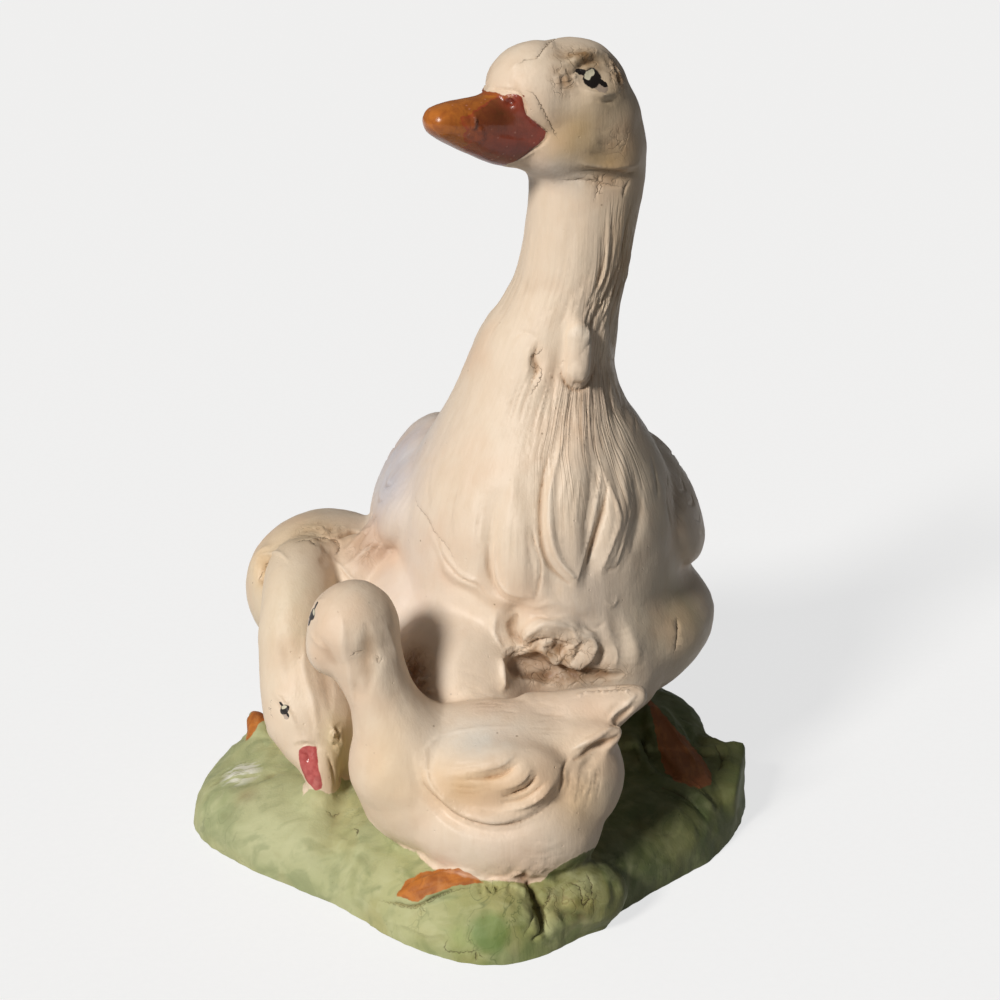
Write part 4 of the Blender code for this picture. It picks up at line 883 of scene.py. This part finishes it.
def attribute(name, out="Fac"):
    return add("ShaderNodeAttribute", out=out, attribute_name=name)


def fit(value, low, high, to_low=0.0, to_high=1.0):
    """A number stretched from one range to another, and held inside it."""
    return add("ShaderNodeMapRange", {0: value, 1: low, 2: high, 3: to_low, 4: to_high})


def sum_of(a, b, how="ADD"):
    return add("ShaderNodeMath", {0: a, 1: b}, operation=how)


def blend(share, under, over, how="MIX"):
    """Paints one colour over another by a share."""
    under = (*under, 1) if isinstance(under, list) else under
    over = (*over, 1) if isinstance(over, list) else over
    return add("ShaderNodeMix", {0: share, 6: under, 7: over}, out=2, data_type="RGBA", blend_type=how)


where = add("ShaderNodeTexCoord", out="Object")


def grain(size, detail=3.0, stretch=(1, 1, 1), rough=0.5, twist=0.0):
    """Cloudy noise with features of a size in metres, drawn out along an axis by stretch."""
    spread = add("ShaderNodeMapping", {0: where, 3: stretch})
    return add("ShaderNodeTexNoise", {"Vector": spread, "Scale": 1 / size, "Detail": detail, "Roughness": rough, "Distortion": twist})


streaks = grain(0.0045, 3, (1, 1, 0.22), 0.5, 0.4)
cloud = grain(0.022, 4)
fine = grain(0.0022, 3)
swirl = grain(0.020, 3, (1, 1, 0.7), 0.5, 1.0)
edge_waver = fit(grain(0.004, 3), 0.3, 0.7, -0.5, 0.5)
shade_and_dust_share = attribute("shade_and_dust")
relief_share = attribute("relief")

cream = attribute("cream", "Color")
cream = blend(fit(cloud, 0.35, 0.70, 0.0, 0.30), cream, linear("EDDFCA"))
cream = blend(fit(streaks, 0.45, 0.75, 0.0, 0.14), cream, linear("CDB08A"))
cream = blend(fit(grain(0.040, 3), 0.48, 0.68, 0.0, 0.35), cream, linear("DDB694"))

green = attribute("green", "Color")
green = blend(fit(swirl, 0.40, 0.62, 0.0, 0.50), green, linear("BCBD90"))
green = blend(fit(grain(0.024, 4, twist=1.4), 0.50, 0.62, 0.0, 0.50), green, linear("667543"))
green = blend(fit(grain(0.036, 2, twist=0.6), 0.52, 0.66, 0.0, 0.45), green, linear("A79C5E"))
brush = grain(0.0075, 3, (0.6, 1.2, 1), 0.5, 0.8)
green = blend(fit(brush, 0.54, 0.70, 0.0, 0.24), green, linear("C9CA9E"))
green = blend(fit(brush, 0.42, 0.30, 0.0, 0.26), green, linear("6F7D4A"))
swirl_line = fit(add("ShaderNodeMath", {0: sum_of(swirl, 0.5, "SUBTRACT")}, operation="ABSOLUTE"), 0.012, 0.0)
green = blend(sum_of(swirl_line, fit(grain(0.03, 2), 0.5, 0.6, 0.0, 0.6), "MULTIPLY"), green, linear("586238"))
white_patch = add("ShaderNodeVectorMath", {0: where, 1: (-0.112, -0.001, 0.028)}, out="Value", operation="DISTANCE")
white_patch = sum_of(fit(white_patch, 0.006, 0.012, 1.0, 0.0), fit(grain(0.006, 3, (0.4, 1.6, 1)), 0.46, 0.54), "MULTIPLY")
green = blend(white_patch, green, linear("E3E2DA"))
sideways = add("ShaderNodeSeparateXYZ", {0: where}, out=0)
# painted shade: the ground darker towards the right
green = blend(fit(sideways, 0.045, 0.090, 0.0, 0.55), green, linear("4F5A36"))
# painted light: the ground lighter towards the left
green = blend(fit(sideways, 0.010, -0.070, 0.0, 0.30), green, linear("C6C7A2"))
thumb_print = add("ShaderNodeVectorMath", {0: where, 1: (0.010, -0.123, 0.014)}, out="Value", operation="DISTANCE")
green = blend(fit(thumb_print, 0.0065, 0.0105, 0.65, 0.0), green, linear("64803F"))

ground_mask = fit(sum_of(attribute("ground"), edge_waver), -0.35, 0.35)
colour = blend(ground_mask, cream, green)

orange = blend(fit(grain(0.006, 4, twist=1.0), 0.35, 0.65), linear("C2762F"), linear("A25D28"))
foot_mask = fit(sum_of(attribute("foot"), edge_waver), -0.2, 0.2)
dark_foot = fit(add("ShaderNodeSeparateXYZ", {0: where}, out=0), 0.03, 0.07)
foot_paint = blend(dark_foot, orange, linear("A2663F"))
foot_paint = blend(fit(grain(0.006, 3, (1.6, 0.5, 1)), 0.5, 0.7, 0.0, 0.5), foot_paint, linear("C98A52"))
colour = blend(foot_mask, colour, foot_paint)

bill_paint = attribute("horn", "Color")
bill_paint = blend(fit(grain(0.005, 4, twist=1.0), 0.40, 0.66, 0.0, 0.5), bill_paint, linear("6E3320"))
torn = fit(sum_of(attribute("brick"), fit(grain(0.006, 3), 0.3, 0.7, -3.0, 3.0)), -0.5, 0.5)
bill_paint = blend(sum_of(sum_of(1.0, torn, "SUBTRACT"), 0.75, "MULTIPLY"), bill_paint, orange)
torn_edge = fit(sum_of(attribute("brick"), fit(grain(0.006, 3), 0.3, 0.7, -3.0, 3.0)), 0.0, 2.5, 1.0, 0.0)
bill_paint = blend(sum_of(sum_of(torn_edge, torn, "MULTIPLY"), 0.7, "MULTIPLY"), bill_paint, linear("B04A30"))
rim_red = fit(attribute("bill"), 5.5, 2.0)
bill_paint = blend(sum_of(rim_red, 0.5, "MULTIPLY"), bill_paint, linear("903A2A"))
flecks = fit(add("ShaderNodeTexVoronoi", {"Vector": where, "Scale": 260.0}), 0.16, 0.08)
bill_paint = blend(sum_of(flecks, 0.45, "MULTIPLY"), bill_paint, linear("C98A78"))
bill_mask = fit(sum_of(attribute("bill"), fit(edge_waver, -0.5, 0.5, -0.3, 0.3)), -0.2, 0.2)
colour = blend(bill_mask, colour, bill_paint)
rose_paint = blend(fit(fine, 0.35, 0.65), linear("C0625E"), linear("AC4D4B"))
rose_mask = fit(sum_of(attribute("rose"), fit(edge_waver, -0.5, 0.5, -0.25, 0.25)), -0.2, 0.2)
colour = blend(rose_mask, colour, rose_paint)

# Painted shade with dust in the hollows, painted shade on the low side of every mark, and a painted highlight on raised
# ridges
# painted shade with dust, darkest where the hollows are most shut in
hollow_shade_and_dust = sum_of(fit(shade_and_dust_share, 0.28, 0.70), fit(cloud, 0.2, 0.7, 0.7, 1.0), "MULTIPLY")
hollow_shade_and_dust_colour = blend(ground_mask, linear("8F6A3E"), linear("6F6A48"))
colour = blend(sum_of(hollow_shade_and_dust, 0.6, "MULTIPLY"), colour, hollow_shade_and_dust_colour, "MULTIPLY")
# painted shade in the low parts of the marks
painted_groove_shade = fit(relief_share, -0.25, -1.3, 0.0, 0.5)
colour = blend(painted_groove_shade, colour, linear("AA895C"), "MULTIPLY")
# painted highlight on the raised parts of the marks, on the birds only
painted_ridge_highlight = sum_of(fit(relief_share, 0.35, 1.2, 0.0, 0.35), fit(cloud, 0.35, 0.6), "MULTIPLY")
colour = blend(sum_of(painted_ridge_highlight, sum_of(1.0, ground_mask, "SUBTRACT"), "MULTIPLY"), colour, linear("F1E6D6"))


def hairline(value, width):
    """A thin line wherever a cloudy number passes its middle."""
    return fit(add("ShaderNodeMath", {0: sum_of(value, 0.5, "SUBTRACT")}, operation="ABSOLUTE"), width, 0.0)


# Worn places: brown dust with fine wrinkles, which in the crumpled hollow, under the breast's hem and in the crevice is
# painted shade
worn_and_shaded_share = attribute("worn_and_shaded")
wrinkle = sum_of(hairline(grain(0.0075, 2, (1, 1, 1), 0.5, 0.8), 0.035), fit(worn_and_shaded_share, 0.12, 0.55), "MULTIPLY")
soil_and_shade = sum_of(fit(worn_and_shaded_share, 0.1, 0.9), fit(grain(0.005, 4), 0.36, 0.62, 0.25, 1.0), "MULTIPLY")
soil_and_shade_colour = blend(ground_mask, linear("AE8A58"), linear("8A7C50"))
colour = blend(sum_of(soil_and_shade, 0.75, "MULTIPLY"), colour, soil_and_shade_colour, "MULTIPLY")
colour = blend(sum_of(wrinkle, 0.36, "MULTIPLY"), colour, linear("7A5E3A"))

# The comb's lines and the cracks
lay = add("ShaderNodeAttribute", out="Vector", attribute_name="lay")
lay_parts = add("ShaderNodeSeparateXYZ", {0: lay}).node
comb_share = lay_parts.outputs[2]
lay_flat = add("ShaderNodeMapping", {0: lay, 3: (1.0, 0.030, 0.0)})
strand = add("ShaderNodeTexNoise", {"Vector": lay_flat, "Scale": 0.62, "Detail": 1.0, "Distortion": 0.10})
comb_line = sum_of(hairline(strand, 0.06), comb_share, "MULTIPLY")
colour = blend(sum_of(comb_line, 0.30, "MULTIPLY"), colour, linear("B39468"), "MULTIPLY")
split_parts = add("ShaderNodeSeparateXYZ", {0: add("ShaderNodeAttribute", out="Vector", attribute_name="split")}).node
across = sum_of(split_parts.outputs[0], fit(grain(0.0018, 3), 0.3, 0.7, -0.5, 0.5))
across = add("ShaderNodeMath", {0: across}, operation="ABSOLUTE")
open_share = sum_of(fit(split_parts.outputs[1], 3.2, 2.4), split_parts.outputs[2], "MULTIPLY")
crack_line = sum_of(fit(across, 0.36, 0.10), open_share, "MULTIPLY")
colour = blend(crack_line, colour, linear("54402A"))
crumbs = fit(add("ShaderNodeTexVoronoi", {"Vector": where, "Scale": 130.0}), 0.09, 0.04)
specks = sum_of(crumbs, fit(grain(0.02, 2), 0.55, 0.62), "MULTIPLY")
colour = blend(sum_of(specks, 0.6, "MULTIPLY"), colour, linear("7C6040"))

# Painted eyes: a black almond with a round middle and a white touch of light
eye_place = add("ShaderNodeAttribute", out="Vector", attribute_name="eye")
tremble = add("ShaderNodeTexNoise", {"Vector": where, "Scale": 500.0, "Detail": 2.0}, out="Color")
tremble = add("ShaderNodeVectorMath", {0: tremble, 1: (0.5, 0.5, 0.5)}, operation="SUBTRACT")
eye_place = add("ShaderNodeVectorMath", {0: tremble, 1: (0.22, 0.22, 0.22), 2: eye_place}, operation="MULTIPLY_ADD")


def oval(middle, radii, angle=0.0):
    """The share of a painted oval on the eye, in half lengths of the eye."""
    flat = add("ShaderNodeMapping", {
        0: eye_place, 1: (*middle, 0), 2: (0, 0, math.radians(angle)), 3: (*radii, 1.6)}, vector_type="TEXTURE")
    return fit(add("ShaderNodeVectorMath", {0: flat}, out="Value", operation="LENGTH"), 1.06, 0.94)


colour = blend(sum_of(oval((0.62, -0.20), (0.50, 0.34)), 0.5, "MULTIPLY"), colour, linear("77696E"))
black = linear("1B1513")
for middle, radii, angle in (((0.06, 0.0), (0.50, 0.56), 0), ((-0.60, 0.05), (0.38, 0.17), 8), ((0.70, 0.04), (0.36, 0.15), -6)):
    colour = blend(oval(middle, radii, angle), colour, black)
colour = blend(oval((-0.16, 0.12), (0.20, 0.34), -22), colour, linear("D9D2B8"))
net.links.new(colour, shader.inputs["Base Color"])

# Satin on the birds, nearly matt on the ground, glossy on the bill
gloss = fit(cloud, 0.3, 0.7, 0.44, 0.58)
gloss = add("ShaderNodeMix", {0: ground_mask, 2: gloss, 3: 0.66})
gloss = add("ShaderNodeMix", {0: sum_of(bill_mask, rose_mask, "MAXIMUM"), 2: gloss, 3: 0.24})
net.links.new(gloss, shader.inputs["Roughness"])
shader.inputs["IOR"].default_value = 1.48
shader.inputs["Specular IOR Level"].default_value = 0.42

# Brush hairs, pinholes and grains too fine for the skin
hairs = grain(0.0011, 3, (1, 1, 0.08))
pits = fit(add("ShaderNodeTexVoronoi", {"Vector": where, "Scale": 170.0}), 0.10, 0.0, 0.0, 1.0)
pits = sum_of(pits, fit(grain(0.015, 2), 0.5, 0.6), "MULTIPLY")
height = sum_of(sum_of(hairs, 0.16, "MULTIPLY"), sum_of(fine, 0.20, "MULTIPLY"))
height = sum_of(height, sum_of(pits, 0.45, "MULTIPLY"), "SUBTRACT")
height = sum_of(height, sum_of(wrinkle, 0.4, "MULTIPLY"), "SUBTRACT")
height = sum_of(height, sum_of(crack_line, 0.8, "MULTIPLY"), "SUBTRACT")
height = sum_of(height, sum_of(comb_line, 0.35, "MULTIPLY"), "SUBTRACT")
height = sum_of(height, sum_of(sum_of(strand, comb_share, "MULTIPLY"), 1.5, "MULTIPLY"))
height = sum_of(height, sum_of(ground_mask, sum_of(brush, 0.3, "MULTIPLY"), "MULTIPLY"))
height = sum_of(height, sum_of(worn_and_shaded_share, sum_of(grain(0.0045, 3), 1.3, "MULTIPLY"), "MULTIPLY"))
bump = add("ShaderNodeBump", {"Strength": 0.7, "Distance": 0.0009, "Height": height})
net.links.new(bump, shader.inputs["Normal"])
cast.data.materials.clear()
cast.data.materials.append(paint)
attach(cast, "root")
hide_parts(NODE)

# The table and the light
# A pale board that keeps the shadow, and one window's light from high on the front left.
bpy.ops.mesh.primitive_plane_add(size=8, location=(0, 0, -0.0002))
floor = bpy.context.object
floor.name = "pale_board"
sheet = bpy.data.materials.new("pale_matt_board")
sheet.use_nodes = True
net = sheet.node_tree
board = net.nodes["Principled BSDF"]
board.inputs["Roughness"].default_value = 0.9
where = add("ShaderNodeTexCoord", out="Object")
pale = blend(fit(grain(0.004, 3), 0.3, 0.7), linear("F0F0EF"), linear("F5F5F4"))
SEEN_WHITE = 0.72
UNSEEN_SHARE = 0.28
seen = add("ShaderNodeLightPath", out="Is Camera Ray")
seen = sum_of(seen, add("ShaderNodeLightPath", out="Is Glossy Ray"), "MAXIMUM")
seen = sum_of(seen, add("ShaderNodeLightPath", out="Is Transmission Ray"), "MAXIMUM")
dimmer = fit(seen, 0.0, 1.0, UNSEEN_SHARE, 1.0)
pale = blend(dimmer, [0.0, 0.0, 0.0], pale)
net.links.new(pale, board.inputs["Base Color"])
white = add("ShaderNodeEmission", {"Color": (1, 1, 1, 1), "Strength": 1.0})
mixed = add("ShaderNodeMixShader", {0: sum_of(seen, SEEN_WHITE, "MULTIPLY"), 1: board.outputs[0], 2: white})
net.links.new(mixed, net.nodes["Material Output"].inputs["Surface"])
floor.data.materials.append(sheet)

world = bpy.data.worlds.new("soft_room")
bpy.context.scene.world = world
world.use_nodes = True
world.node_tree.nodes["Background"].inputs["Color"].default_value = (0.93, 0.96, 1.0, 1)
world.node_tree.nodes["Background"].inputs["Strength"].default_value = 0.09

WINDOW_FROM = Vector((-0.535, -0.655, 0.535))
light = bpy.data.lights.new("window", "SUN")
light.energy = 3.10
light.angle = math.radians(13)
light.color = (1.0, 0.965, 0.92)
window = bpy.data.objects.new("window", light)
window.rotation_euler = WINDOW_FROM.to_track_quat("Z", "Y").to_euler()
bpy.context.scene.collection.objects.link(window)

camera_data = bpy.data.cameras.new("camera")
camera = bpy.data.objects.new("camera", camera_data)
camera.location = (0.0145, -0.870, 0.485)
camera.rotation_euler = (math.radians(69.97), 0, 0)
camera_data.sensor_width = 36
camera_data.lens = 72
camera_data.clip_start = 0.01
bpy.context.scene.collection.objects.link(camera)
bpy.context.scene.camera = camera
bpy.context.scene.view_settings.view_transform = "Standard"
